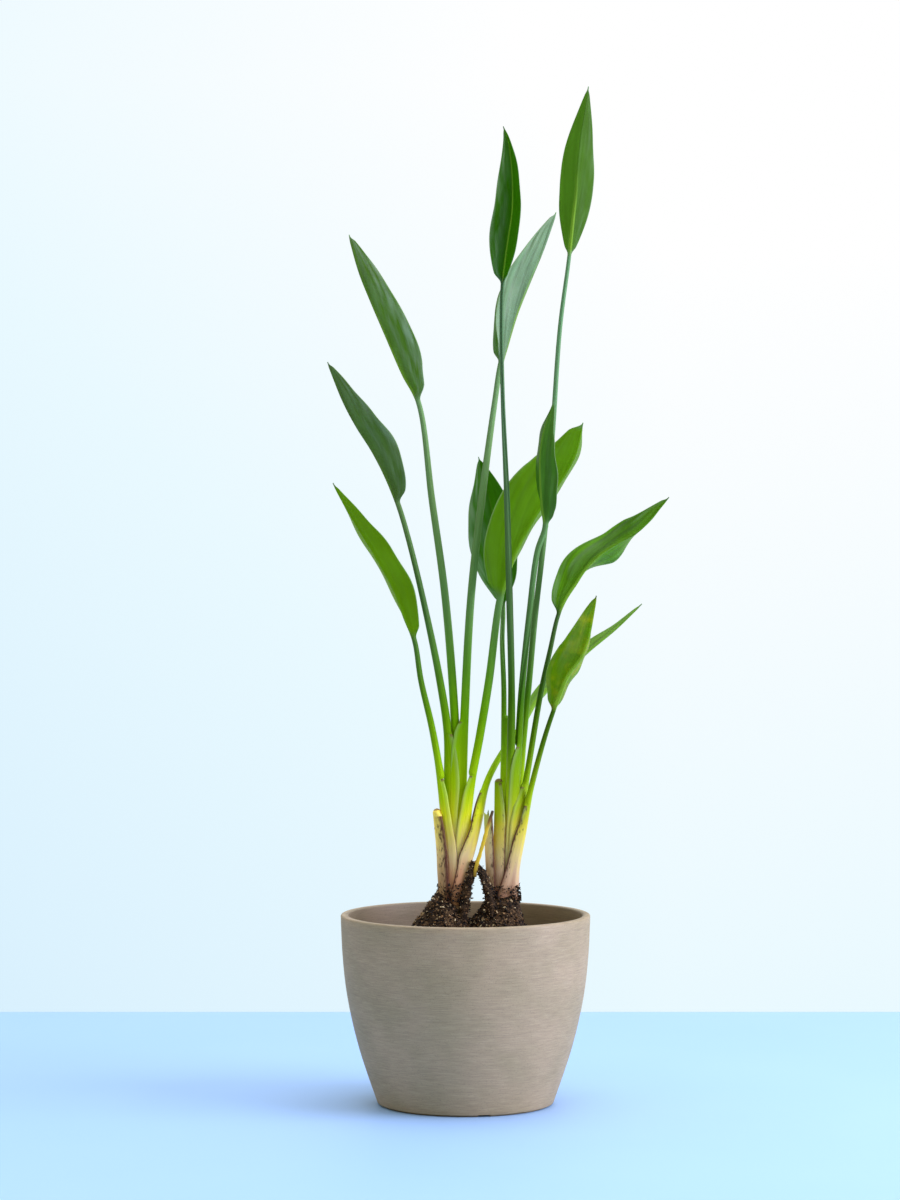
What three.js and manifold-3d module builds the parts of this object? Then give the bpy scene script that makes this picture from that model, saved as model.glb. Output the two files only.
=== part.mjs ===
// Young bird of paradise in a round planter. Millimetres, Z up, origin at the centre of the pot's base.
// X runs to the right and Y away from the front. Two shoots stand side by side in heaped potting soil.
import * as THREE from "three";
import { ConvexGeometry } from "three/addons/geometries/ConvexGeometry.js";
import { mergeVertices } from "three/addons/utils/BufferGeometryUtils.js";
import Module from "manifold-3d";

// Planter: a thick-walled cup whose side swells gently from a narrow foot to an upright lip.
const POT_SEGMENTS = 48;
const POT_HEIGHT = 152;
const POT_WALL = 6.3;
const POT_FLOOR = 8;
const POT_SIDE = [
  // [radius, height] of the outer face
  [70.6, 1.2],
  [77.3, 20],
  [85.4, 45],
  [91.6, 70],
  [95.8, 93],
  [98.6, 120],
  [100, 149],
];
const FOOT_BEVEL = 1.2;
const LIP_ROUND = 1.4;
const LIP_CORNER = { inset: 0.42, drop: 0.7 };
const RIM_DEPTH = 18;
const POT_COLOUR = 0x8d8478;
const POT_ROUGHNESS = 0.7;
const FOOT_GROOVES = { angles: [-78, 42, 162], width: 10, depth: 1.6, from: 50, to: 80 };

// Potting soil: level near the wall, heaped round each shoot.
const FIT_GAP = 0.35;
const SOIL_LEVEL = 122;
const SOIL_RINGS = 13;
const SOIL_COLOUR = 0x33271f;
const SOIL_ROUGHNESS = 0.95;
const MOUNDS = [
  { x: -18, y: -2, top: 169, radius: 33 },
  { x: 27, y: -2, top: 170, radius: 34 },
];
const MOUND_CROWN = 3;
const MOUND_SKIRT = 2;
const CLOD_HEIGHT = 0.9;
const CLOD_WAVES = 6;
const CLOD_PITCH = [0.1, 0.45];
const SOIL_SEED = 11;

// Leaves. A section has as many columns on its upper face as on its lower face.
const COLUMNS = [-1, -0.6, -0.2, 0, 0.2, 0.6, 1];
const SIDES = 2 * COLUMNS.length;
const BLADE_THICKNESS = 0.7;
const BLADE_STEPS = [0, 0.03, 0.08, 0.15, 0.23, 0.32, 0.41, 0.5, 0.6, 0.7, 0.8, 0.89, 0.96, 1];
const BLADE_OPENS = 0.07;
const BLADE_CLOSES = 0.93;
const TIP_RADIUS = 0.45;
const RIB_SHARE = 0.8;
const BELLY = 0.75;
const FULLNESS = 0.85;
const CURVE_STEPS = 16;
const LEAF_ROUGHNESS = 0.45;
const DRY_ROUGHNESS = 0.75;
const FACING_FRONT = 90;
const MERGE_WITHIN = 1e-3;

// Rootstocks: the short crown under each shoot, with fleshy roots.
const CROWN_TOP = 140.6;
const LEAF_BASE = 141;
const ROOTSTOCKS = [
  { name: "left_rootstock", x: -12, y: 0, radii: [10.5, 11], seed: 3 },
  { name: "right_rootstock", x: 32, y: 0, radii: [12.5, 12], seed: 8 },
];
const CROWN_HEIGHT = 24;
const CROWN_CUT = 3;
const CROWN_SEGMENTS = [10, 6];
const ROOTSTOCK_COLOUR = 0xb98f5c;
const ROOTS = {
  count: 4,
  sides: 5,
  radii: [4, 1.8],
  turn: 0.5,
  spread: [16, 28],
  depth: [50, 84],
  // [share of the spread, depth] of the points above the tip
  bends: [
    [0.2, 8],
    [0.7, 22],
  ],
};
const COLLAR_POINTS = 2;

// Each leaf is one growth from sheath to tip.
// path: centre line from the crown through the stalk, then the midrib to the tip.
// foot: number of the path point where the blade opens.
// girth: [height, half-width across the fan, half-depth] of sheath and stalk.
// width: widest half of the blade. left, right: which way each half runs from the midrib, in degrees
// about it, at even stations from foot to tip: 0 right, 90 away, 180 left, 270 to the front.
// cup: how far each half bends inwards from midrib to margin, in degrees.
const LEAVES = [
  {
    name: "left_leaf_1",
    path: [
      [-10, 2.5, LEAF_BASE],
      [-9.6, 2.5, 168],
      [-8.4, 2, 195],
      [-6.8, 1.5, 244],
      [-8.3, 1, 306],
      [-15.9, 5, 404],
      [-26.8, 8, 484],
      [-37.6, 10, 562],
      [-49.4, 11, 585],
      [-63, 12, 615.5],
      [-75.3, 14, 643.5],
      [-84.8, 16, 667],
      [-93.5, 20, 697],
    ],
    foot: 7,
    girth: [
      [150, 3.6, 5.4],
      [195, 4.2, 5],
      [244, 4.2, 4.4],
      [306, 3.6, 3.6],
      [404, 3.2, 3.2],
      [484, 2.8, 2.8],
      [562, 2.1, 2.1],
    ],
    width: 26,
    left: [42, 42, 35],
    right: [-32, -40, -22],
    cup: 14,
    colour: 0x55824b,
  },
  {
    name: "left_leaf_2",
    path: [
      [-12, 1, LEAF_BASE],
      [-11.8, 1, 168],
      [-11, 0.5, 195],
      [-13.4, -1, 244],
      [-14, -3, 296],
      [-20.4, -7, 340],
      [-33.6, -12, 404],
      [-45.2, -15, 452],
      [-53.5, -16, 480],
      [-63.2, -18, 503.5],
      [-73.8, -20, 523.5],
      [-85.8, -22, 542],
      [-96.4, -23, 561.5],
      [-109.4, -24, 593],
    ],
    foot: 8,
    girth: [
      [150, 3.6, 5.8],
      [195, 4.2, 5.4],
      [244, 4.2, 4.4],
      [296, 3.5, 3.5],
      [340, 3.1, 3.1],
      [404, 2.5, 2.5],
      [481, 2.1, 2.1],
    ],
    width: 24,
    left: [45, 48, 45],
    right: [-38, -38, -38],
    cup: 16,
    colour: 0x3d6e3b,
  },
  {
    name: "left_leaf_3",
    path: [
      [-14, -0.8, LEAF_BASE],
      [-13.8, -0.8, 168],
      [-13.4, -2, 195],
      [-17.2, -5, 244],
      [-26.1, -10, 299],
      [-35.5, -16, 340],
      [-40.6, -20, 372],
      [-47.3, -22, 389],
      [-56.8, -25, 413],
      [-71, -28, 439],
      [-85.2, -31, 462],
      [-98.5, -34, 485],
      [-104.8, -36, 497],
    ],
    foot: 6,
    girth: [
      [150, 3.8, 6.2],
      [195, 4.4, 5.6],
      [244, 4.2, 4.4],
      [276, 3, 3],
      [340, 2.3, 2.3],
      [372, 2, 2],
    ],
    width: 19,
    left: [95, 102, 98],
    right: [-33, -38, -40],
    cup: 12,
    colour: 0x64992a,
  },
  {
    name: "left_leaf_4",
    path: [
      [-8.5, 1.8, LEAF_BASE],
      [-8, 1.8, 168],
      [-5.6, 1.2, 195],
      [-3.4, 0.5, 244],
      [-1, -2, 309],
      [4.1, -4, 404],
      [12.8, -4, 484],
      [23.6, 0, 564],
      [28, 2, 592],
      [32.6, 4, 608],
      [40.4, 6, 633],
      [51, 9, 659],
      [62, 13, 685],
      [72.8, 20, 715],
    ],
    foot: 8,
    girth: [
      [150, 3.6, 5.6],
      [195, 4.2, 5.2],
      [244, 4.2, 4.4],
      [309, 3.6, 3.6],
      [404, 3.2, 3.2],
      [484, 3.1, 3.1],
      [564, 2.3, 2.3],
    ],
    width: 24,
    left: [245, 216, 212],
    right: [128, 140, 146],
    cup: 12,
    colour: 0x6f9568,
  },
  {
    name: "left_leaf_5",
    path: [
      [-7, 0.2, LEAF_BASE],
      [-6.2, 0.2, 168],
      [-2.4, -1, 195],
      [2, -5, 244],
      [11.9, -12, 299],
      [18.6, -17, 340],
      [27.1, -22, 404],
      [32.9, -22, 424],
      [38.4, -21, 440],
      [48.8, -19, 460],
      [59.9, -17, 478],
      [75.1, -16, 498],
      [86.9, -18, 519],
      [93.1, -22, 545],
    ],
    foot: 6,
    girth: [
      [150, 3.8, 6],
      [195, 4.4, 5.6],
      [244, 4.2, 4.6],
      [265, 3.5, 3.6],
      [340, 3.2, 3.2],
      [404, 2.8, 2.8],
    ],
    width: 33,
    left: [190, 188, 188],
    right: [84, 82, 82],
    cup: 10,
    belly: 1,
    fullness: 0.62,
    colour: 0x5f9a26,
  },
  {
    name: "left_leaf_6",
    path: [
      [-7.8, -2.4, LEAF_BASE],
      [-7.8, -2.4, 168],
      [-5.6, -2.4, 181],
      [0.6, -1.5, 196],
      [9.5, 4, 226],
      [17, 15, 256],
      [29.5, 29, 279],
      [40, 40, 293],
      [49, 49, 305],
      [59, 59, 321],
      [78, 66, 339],
      [102, 70, 361],
      [123, 72, 378],
      [145, 72, 399],
    ],
    foot: 8,
    girth: [
      [150, 5.8, 7],
      [181, 5.8, 7],
      [205, 4.8, 6],
      [235, 3.6, 4.4],
      [256, 2.8, 2.8],
      [305, 2, 2],
    ],
    width: 13,
    left: [127, 125, 120],
    right: [72, 88, 85],
    cup: 10,
    colour: 0x6fa24a,
  },
  {
    name: "right_leaf_1",
    path: [
      [32.5, 0.5, LEAF_BASE],
      [32.6, 0.5, 168],
      [33.3, -0.5, 195],
      [35.6, -5.5, 244],
      [36.6, -18, 305],
      [36.5, -24, 341],
      [34.7, -34, 405],
      [32.5, -40, 484],
      [29.2, -44, 562],
      [28.1, -45, 617],
      [28.9, -45, 652],
      [31.4, -46, 674],
      [33.7, -46, 690],
      [36, -45, 705],
      [37, -44, 717],
      [36.4, -42, 743],
      [33.3, -38, 767],
      [29.6, -34, 778],
    ],
    foot: 10,
    girth: [
      [150, 3.5, 5],
      [195, 3.8, 4.8],
      [244, 3.8, 4.2],
      [305, 3.2, 3.2],
      [341, 2.8, 2.8],
      [405, 2.7, 2.7],
      [484, 2.3, 2.3],
      [562, 1.7, 1.7],
      [652, 1.6, 1.6],
    ],
    width: 17,
    left: [205, 205, 200],
    right: [-65, -67, -70],
    cup: 8,
    belly: 0.7,
    fullness: 0.92,
    colour: 0x2f6a1c,
  },
  {
    name: "right_leaf_2",
    path: [
      [31, 3, LEAF_BASE],
      [31, 3, 168],
      [31, 4.5, 195],
      [31, 8.5, 243],
      [31.1, 13, 282],
      [31, 19, 331],
      [29.8, 27, 371],
      [30.6, 35, 396],
      [28.2, 40, 427],
      [24.2, 43, 460],
      [18.5, 45, 492],
      [10.7, 46, 519],
    ],
    foot: 7,
    girth: [
      [150, 3.5, 5],
      [195, 3.8, 4.8],
      [243, 3.5, 3.8],
      [282, 2.6, 2.6],
      [331, 2.1, 2.1],
      [396, 1.9, 1.9],
    ],
    width: 24,
    left: [195, 200, 200],
    right: [-42, -44, -42],
    cup: 10,
    belly: 0.9,
    fullness: 1,
    colour: 0x356f2b,
  },
  {
    name: "right_leaf_3",
    path: [
      [34.5, 2.5, LEAF_BASE],
      [34.6, 2.5, 168],
      [37.4, 3.5, 195],
      [42.2, 7, 243],
      [46.1, 14, 286],
      [51, 20, 335],
      [56.2, 26, 389],
      [64.4, 30, 461],
      [70.8, 32, 543],
      [76.5, 34, 623],
      [83.7, 34, 679],
      [86.8, 33, 709],
      [89.1, 33, 730],
      [89.8, 33, 743],
      [92.6, 34, 774],
      [96.6, 36, 799],
      [99.5, 38, 818],
    ],
    foot: 10,
    girth: [
      [150, 3.6, 5],
      [195, 3.8, 4.8],
      [243, 3.6, 4],
      [286, 2.8, 2.8],
      [389, 2.4, 2.4],
      [543, 2.1, 2.1],
      [679, 1.6, 1.6],
    ],
    width: 16,
    left: [146, 146, 146],
    right: [32, 28, 30],
    cup: 12,
    colour: 0x4f8332,
  },
  {
    name: "right_leaf_4",
    path: [
      [33.8, -0.5, LEAF_BASE],
      [34, -0.5, 168],
      [36.4, -2, 195],
      [39.6, -5, 244],
      [42.2, -12, 287],
      [44.6, -20, 332],
      [50.7, -33, 396],
      [56.5, -41, 443],
      [62.8, -43, 463],
      [61.2, -44, 476],
      [59.6, -44, 495],
      [59.1, -44, 519],
      [61.1, -44, 535],
      [65.1, -44, 548],
      [69.4, -44, 561],
    ],
    foot: 8,
    girth: [
      [150, 3.6, 5.6],
      [195, 3.8, 5.4],
      [244, 3.6, 4.4],
      [287, 3, 3],
      [332, 2.7, 2.7],
      [443, 2.3, 2.3],
    ],
    width: 16,
    left: [95, 102, 105],
    right: [-32, -38, -40],
    cup: 10,
    colour: 0x3a6b33,
  },
  {
    name: "right_leaf_5",
    path: [
      [35, -1.2, LEAF_BASE],
      [35, -1.2, 168],
      [38.2, -1.6, 195],
      [44.6, -1, 236],
      [50.8, 1, 273],
      [60.8, 6, 331],
      [67.9, 9, 363],
      [74.4, 11, 391],
      [80, 11, 404],
      [88, 11, 416],
      [96, 10, 428],
      [107.9, 8, 440],
      [121.5, 6, 449],
      [139.7, 3, 460],
      [162.6, -2, 486],
    ],
    foot: 7,
    girth: [
      [150, 4, 6.2],
      [195, 4.4, 5.8],
      [236, 3.8, 4.4],
      [262, 2.6, 2.6],
      [331, 2.2, 2.2],
      [391, 1.7, 1.7],
    ],
    width: 20,
    left: [178, 172, 125, 170, 165],
    right: [80, 88, 56, 84, 86],
    cup: 8,
    colour: 0x57893a,
  },
  {
    name: "right_leaf_6",
    path: [
      [34.6, -3.4, LEAF_BASE],
      [34.6, -3.4, 168],
      [37, -3.6, 187],
      [44.6, -5, 219],
      [52.8, -10, 256],
      [62.5, -16, 293],
      [69.5, -20, 315],
      [74.6, -22, 328],
      [81.2, -25, 344],
      [92.2, -28, 360],
      [96.9, -30, 373],
      [101.5, -34, 397],
      [103.2, -36, 408],
    ],
    foot: 6,
    girth: [
      [150, 8, 7],
      [175, 7.8, 7],
      [190, 6, 6.4],
      [219, 4.2, 5],
      [250, 2.4, 2.6],
      [315, 1.8, 1.8],
    ],
    width: 20.5,
    left: [138, 148, 165, 180, 175],
    right: [78, 72, 80, 86, 85],
    cup: 8,
    colour: 0x6da032,
  },
];

// Leaf bases that were cut off, and the dried outer sheath. They have no blade.
const STUMPS = [
  {
    name: "left_cut_leaf_base",
    path: [
      [-17, -2.4, LEAF_BASE],
      [-17.2, -2.4, 168],
      [-18.4, -3, 185],
      [-19.4, -4, 204],
      [-21.6, -4, 224],
      [-23.2, -4, 237],
    ],
    girth: [
      [150, 4.4, 6.6],
      [204, 4, 6],
      [237, 3.3, 4.6],
    ],
    colour: 0xc9b070,
  },
  {
    name: "right_cut_leaf_base",
    path: [
      [26.5, -1, LEAF_BASE],
      [25.6, -1, 168],
      [25, -2, 185],
      [26.4, -3, 228],
      [26.8, -4, 261],
    ],
    girth: [
      [150, 3.8, 6],
      [185, 3.6, 5.6],
      [261, 3.5, 4.4],
    ],
    colour: 0x6c9430,
  },
  {
    name: "dried_sheath",
    path: [
      [22.6, -1, LEAF_BASE],
      [21.6, -1, 168],
      [20.4, -2, 185],
      [19.2, -3, 207],
      [18.2, -4, 235],
    ],
    girth: [
      [150, 4.2, 6.4],
      [207, 3.8, 5.6],
      [235, 3.4, 4.6],
    ],
    colour: 0xb49a72,
  },
];

const STRIP = {
  name: "dried_strip",
  path: [
    [7.6, -8.5, 184],
    [9, -9, 192],
    [11.7, -10, 201],
    [15.5, -12, 215],
    [18.5, -13, 225],
    [21.1, -13.5, 234],
  ],
  girth: [
    [184, 1.5, 0.8],
    [216, 1.5, 0.7],
    [234, 0.8, 0.6],
  ],
  colour: 0xc9951e,
};

// The old soil-coated root that bridges the two mounds: two arms that meet in a point.
const OLD_ROOT = {
  name: "old_root",
  arms: [
    [
      [-3, -12, 146],
      [-1, -10, 160],
      [2, -8.5, 176],
      [5.4, -8.5, 187],
      [6.8, -8.5, 195],
    ],
    [
      [22, -14, 148],
      [19.6, -13, 163],
      [16.4, -11.5, 177],
      [12.4, -10, 187],
      [7, -8.5, 192],
    ],
  ],
  radii: [3.7, 2.3],
  sides: 8,
  colour: 0x3a2c22,
};

const wasm = await Module();
wasm.setup();

const DRAW_START = 7919;
const DRAW_FACTOR = 16807;
const DRAW_RANGE = 2147483647;

// Repeatable draws between two limits.
function seededDraw(seed) {
  let state = seed * DRAW_START + 1;
  return (low, high) => {
    state = (state * DRAW_FACTOR) % DRAW_RANGE;
    return THREE.MathUtils.lerp(low, high, state / DRAW_RANGE);
  };
}

function toSolid(geometry) {
  const bare = geometry.clone();
  bare.deleteAttribute("normal");
  bare.deleteAttribute("uv");
  const merged = mergeVertices(bare, MERGE_WITHIN);
  const source = merged.index.array;
  const kept = [];
  for (let i = 0; i < source.length; i += 3) {
    const [a, b, c] = [source[i], source[i + 1], source[i + 2]];
    if (a !== b && b !== c && c !== a) kept.push(a, b, c);
  }
  return new wasm.Manifold(
    new wasm.Mesh({
      numProp: 3,
      vertProperties: new Float32Array(merged.attributes.position.array),
      triVerts: new Uint32Array(kept),
    }),
  );
}

function toGeometry(solid) {
  const mesh = solid.getMesh();
  const geometry = new THREE.BufferGeometry();
  geometry.setAttribute("position", new THREE.BufferAttribute(mesh.vertProperties, 3));
  geometry.setIndex(new THREE.BufferAttribute(mesh.triVerts, 1));
  geometry.computeVertexNormals();
  return geometry;
}

function largestBody(solid) {
  const bodies = solid.decompose();
  return bodies.reduce((best, next) => (next.volume() > best.volume() ? next : best));
}

// Smooth value between even stations, u from 0 to 1.
function along(stations, u) {
  const place = Math.min(Math.max(u, 0), 1) * (stations.length - 1);
  const i = Math.min(Math.floor(place), stations.length - 2);
  const share = THREE.MathUtils.smoothstep(place - i, 0, 1);
  return THREE.MathUtils.lerp(stations[i], stations[i + 1], share);
}

function girthAt(girth, height) {
  const last = girth.length - 1;
  if (height <= girth[0][0]) return [girth[0][1], girth[0][2]];
  if (height >= girth[last][0]) return [girth[last][1], girth[last][2]];
  const i = girth.findIndex((station) => station[0] > height) - 1;
  const share = (height - girth[i][0]) / (girth[i + 1][0] - girth[i][0]);
  return [
    THREE.MathUtils.lerp(girth[i][1], girth[i + 1][1], share),
    THREE.MathUtils.lerp(girth[i][2], girth[i + 1][2], share),
  ];
}

// Closed skin through rings of equal count, each wound counter-clockwise about the way it grows.
// The quads of the second half of a ring are split the other way, so both faces of a blade match.
function loft(rings) {
  const count = rings[0].length;
  const positions = rings.flat().flatMap((point) => [point.x, point.y, point.z]);
  const index = [];
  for (let i = 0; i + 1 < rings.length; i++) {
    for (let j = 0; j < count; j++) {
      const next = (j + 1) % count;
      const [a, b] = [i * count + j, i * count + next];
      const [c, d] = [a + count, b + count];
      if (2 * j < count) index.push(a, b, d, a, d, c);
      else index.push(a, b, c, b, d, c);
    }
  }
  const top = (rings.length - 1) * count;
  for (let j = 1; j + 1 < count; j++) {
    index.push(0, j + 1, j);
    index.push(top, top + j, top + j + 1);
  }
  const geometry = new THREE.BufferGeometry();
  geometry.setAttribute("position", new THREE.Float32BufferAttribute(positions, 3));
  geometry.setIndex(index);
  return geometry;
}

function smoothPath(points) {
  const knots = points.map((point) => new THREE.Vector3(...point));
  const curve = new THREE.CatmullRomCurve3(knots, false, "centripetal");
  curve.arcLengthDivisions = (points.length - 1) * CURVE_STEPS;
  return curve;
}

// Share of the whole length at a numbered point of the path.
function shareAt(curve, number) {
  const lengths = curve.getLengths();
  return lengths[number * CURVE_STEPS] / lengths[lengths.length - 1];
}

// Turns a flat section into a ring across the path: its first axis stays level with the front.
function placeRing(curve, share, section) {
  const centre = curve.getPointAt(share);
  const way = curve.getTangentAt(share);
  const across = new THREE.Vector3(0, 1, 0).cross(way).normalize();
  const away = way.clone().cross(across);
  return section.map(([r, q]) =>
    centre.clone().addScaledVector(across, r).addScaledVector(away, q),
  );
}

// Oval whose corners are numbered from the middle of the lower face, as a blade's are.
function ovalSection(radii, facing, grow, sides = SIDES) {
  const start = THREE.MathUtils.degToRad(facing) + Math.PI / 2;
  return Array.from({ length: sides }, (_, j) => {
    const angle = start + ((j + 0.5) / sides) * 2 * Math.PI;
    return [(radii[0] + grow) * Math.cos(angle), (radii[1] + grow) * Math.sin(angle)];
  });
}

// One half of the blade's section: centre points and the direction to the upper face.
function halfSection(start, bend, side, width, share) {
  const angle = start + bend * share;
  const reach = [
    (width * (Math.sin(angle) - Math.sin(start))) / bend,
    (width * (Math.cos(start) - Math.cos(angle))) / bend,
  ];
  const normal = angle + (side * Math.PI) / 2;
  return { reach, normal: [Math.cos(normal), Math.sin(normal)] };
}

function bladeSection(leaf, u, width, rib) {
  const left = THREE.MathUtils.degToRad(along(leaf.left, u));
  const right = THREE.MathUtils.degToRad(along(leaf.right, u));
  const opensAway = left - right < Math.PI;
  const bend = THREE.MathUtils.degToRad(leaf.cup) * (opensAway ? 1 : -1);
  const half = BLADE_THICKNESS / 2;
  const middle = (left + right) / 2;
  const fold = left - right + bend;
  const mitre = half / Math.sin(fold / 2);
  const lower = [];
  const upper = [];
  for (const column of COLUMNS) {
    if (column === 0) {
      const up = mitre + (opensAway ? 0 : rib);
      const down = mitre + (opensAway ? rib : 0);
      upper.push([up * Math.cos(middle), up * Math.sin(middle)]);
      lower.push([-down * Math.cos(middle), -down * Math.sin(middle)]);
      continue;
    }
    const { reach, normal } =
      column < 0
        ? halfSection(left + bend / 2, -bend, -1, width, -column)
        : halfSection(right - bend / 2, bend, 1, width, column);
    upper.push([reach[0] + half * normal[0], reach[1] + half * normal[1]]);
    lower.push([reach[0] - half * normal[0], reach[1] - half * normal[1]]);
  }
  return [...lower, ...upper.reverse()];
}

function blend(from, to, share) {
  return from.map(([r, q], j) => [
    THREE.MathUtils.lerp(r, to[j][0], share),
    THREE.MathUtils.lerp(q, to[j][1], share),
  ]);
}

// Half-width of the blade as a share of its widest, from foot to tip.
function bladeOutline(leaf, u) {
  const belly = leaf.belly ?? BELLY;
  const fullness = leaf.fullness ?? FULLNESS;
  return Math.sin(Math.PI * Math.min(u ** belly, 1)) ** fullness;
}

function stalkRings(piece, curve, lastPoint, facing, grow) {
  return Array.from({ length: lastPoint + 1 }, (_, number) => {
    const share = shareAt(curve, number);
    const radii = girthAt(piece.girth, curve.getPointAt(share).z);
    return placeRing(curve, share, ovalSection(radii, facing, grow));
  });
}

function bladeRings(leaf, curve, facing) {
  const foot = shareAt(curve, leaf.foot);
  const stalkRadius = leaf.girth[leaf.girth.length - 1][1];
  return BLADE_STEPS.slice(1).map((u) => {
    const opened = THREE.MathUtils.smoothstep(u, 0, BLADE_OPENS);
    const closing = THREE.MathUtils.smoothstep(u, BLADE_CLOSES, 1);
    const radius = THREE.MathUtils.lerp(stalkRadius, TIP_RADIUS, u);
    const width = Math.max(leaf.width * bladeOutline(leaf, u), radius);
    const open = bladeSection(leaf, u, width, radius * RIB_SHARE);
    const round = ovalSection([radius, radius], facing, 0);
    return placeRing(curve, foot + (1 - foot) * u, blend(round, open, opened * (1 - closing)));
  });
}

function leafFacing(leaf) {
  return (leaf.left[0] + leaf.right[0]) / 2;
}

function leafGeometry(leaf) {
  const curve = smoothPath(leaf.path);
  const facing = leafFacing(leaf);
  const stalk = stalkRings(leaf, curve, leaf.foot, facing, 0);
  return loft([...stalk, ...bladeRings(leaf, curve, facing)]);
}

// The sheath and stalk alone, as wide as asked: what a neighbour must keep clear of.
function stalkGeometry(piece, grow) {
  const curve = smoothPath(piece.path);
  const facing = piece.left ? leafFacing(piece) : FACING_FRONT;
  const rings = stalkRings(piece, curve, piece.foot ?? piece.path.length - 1, facing, grow);
  const foot = rings[0].map((point) => new THREE.Vector3(point.x, point.y, point.z - grow));
  return loft([foot, ...rings.slice(1)]);
}

function rootGeometry(points, radii, sides) {
  const curve = smoothPath(points);
  const last = points.length - 1;
  const rings = points.map((_, number) => {
    const radius = THREE.MathUtils.lerp(radii[0], radii[1], number / last);
    return placeRing(curve, shareAt(curve, number), ovalSection([radius, radius], 0, 0, sides));
  });
  return loft(rings);
}

function grooveCutter(angle) {
  const length = FOOT_GROOVES.to - FOOT_GROOVES.from;
  const box = new THREE.BoxGeometry(length, FOOT_GROOVES.width, 2 * FOOT_GROOVES.depth);
  box.translate((FOOT_GROOVES.from + FOOT_GROOVES.to) / 2, 0, 0);
  box.rotateZ(THREE.MathUtils.degToRad(angle));
  return toSolid(box);
}

// Radius of the outer face at a height.
function potRadius(height) {
  const i = Math.max(POT_SIDE.findIndex((point) => point[1] >= height) - 1, 0);
  const [low, high] = [POT_SIDE[i], POT_SIDE[i + 1]];
  return THREE.MathUtils.mapLinear(height, low[1], high[1], low[0], high[0]);
}

function lathe(profile) {
  const points = profile.map(([radius, height]) => new THREE.Vector2(radius, height));
  return new THREE.LatheGeometry(points, POT_SEGMENTS).rotateX(Math.PI / 2);
}

function innerSide(gap) {
  const below = POT_SIDE.filter(([, height]) => height > POT_FLOOR + POT_WALL && height < SOIL_LEVEL);
  return below.map(([radius, height]) => [radius - POT_WALL - gap, height]);
}

function potSolid() {
  const lip = POT_SIDE[POT_SIDE.length - 1][0];
  const inner = lip - POT_WALL;
  const rimFoot = POT_HEIGHT - RIM_DEPTH;
  const profile = [
    [0, 0],
    [POT_SIDE[0][0] - FOOT_BEVEL, 0],
    ...POT_SIDE,
    [lip - LIP_CORNER.inset, POT_HEIGHT - LIP_CORNER.drop],
    [lip - LIP_ROUND, POT_HEIGHT],
    [inner + LIP_ROUND, POT_HEIGHT],
    [inner + LIP_CORNER.inset, POT_HEIGHT - LIP_CORNER.drop],
    [inner, POT_HEIGHT - 2 * LIP_ROUND],
    [potRadius(rimFoot) - POT_WALL, rimFoot],
    ...innerSide(0).reverse(),
    [potRadius(POT_FLOOR) - POT_WALL, POT_FLOOR],
    [0, POT_FLOOR],
  ];
  const cutters = FOOT_GROOVES.angles.map(grooveCutter);
  return cutters.reduce((pot, cutter) => pot.subtract(cutter), toSolid(lathe(profile)));
}

// Height of the soil's surface: level, heaped at the shoots, with clods.
function soilSurface() {
  const draw = seededDraw(SOIL_SEED);
  const waves = Array.from({ length: CLOD_WAVES }, () => ({
    x: draw(...CLOD_PITCH),
    y: draw(...CLOD_PITCH),
    phase: draw(0, 2 * Math.PI),
  }));
  return (x, y) => {
    const swells = waves.map((wave) => Math.sin(wave.x * x + wave.y * y + wave.phase));
    const clods = swells.reduce((sum, swell) => sum + swell, 0);
    const heaps = MOUNDS.map((mound) => {
      const reach = Math.min(Math.hypot(x - mound.x, y - mound.y) / mound.radius, 1);
      return (mound.top - SOIL_LEVEL) * (1 - reach ** MOUND_CROWN) ** MOUND_SKIRT;
    });
    return SOIL_LEVEL + Math.max(...heaps) + clods * CLOD_HEIGHT;
  };
}

function soilSolid() {
  const bottom = POT_FLOOR + FIT_GAP;
  const edge = potRadius(SOIL_LEVEL) - POT_WALL - FIT_GAP;
  const rings = Array.from({ length: SOIL_RINGS }, (_, i) => [
    edge * (1 - i / SOIL_RINGS),
    SOIL_LEVEL,
  ]);
  const profile = [
    [0, bottom],
    [potRadius(POT_FLOOR) - POT_WALL - FIT_GAP, bottom],
    ...innerSide(FIT_GAP),
    ...rings,
    [0, SOIL_LEVEL],
  ];
  const geometry = lathe(profile);
  const surface = soilSurface();
  const position = geometry.attributes.position;
  for (let i = 0; i < position.count; i++) {
    if (position.getZ(i) < SOIL_LEVEL) continue;
    position.setZ(i, surface(position.getX(i), position.getY(i)));
  }
  return toSolid(geometry);
}

// Crown with roots that spread out and down in even turns, each a little different.
function rootstockSolid(stock, grow) {
  const draw = seededDraw(stock.seed);
  const shape = new THREE.SphereGeometry(1, ...CROWN_SEGMENTS);
  shape.scale(stock.radii[0] + grow, stock.radii[1] + grow, CROWN_HEIGHT / 2 + grow);
  shape.translate(stock.x, stock.y, CROWN_TOP - CROWN_HEIGHT / 2 + CROWN_CUT);
  const radii = ROOTS.radii.map((radius) => radius + grow);
  let solid = toSolid(shape).trimByPlane([0, 0, -1], -(CROWN_TOP + grow));
  for (let i = 0; i < ROOTS.count; i++) {
    const turn = ((i + draw(0, ROOTS.turn)) / ROOTS.count) * 2 * Math.PI;
    const spread = draw(...ROOTS.spread);
    const depth = draw(...ROOTS.depth);
    const points = [...ROOTS.bends, [1, depth]].map(([share, drop]) => [
      stock.x + share * spread * Math.cos(turn),
      stock.y + share * spread * Math.sin(turn),
      CROWN_TOP - drop,
    ]);
    solid = solid.add(toSolid(rootGeometry(points, radii, ROOTS.sides)));
  }
  return solid;
}

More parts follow.
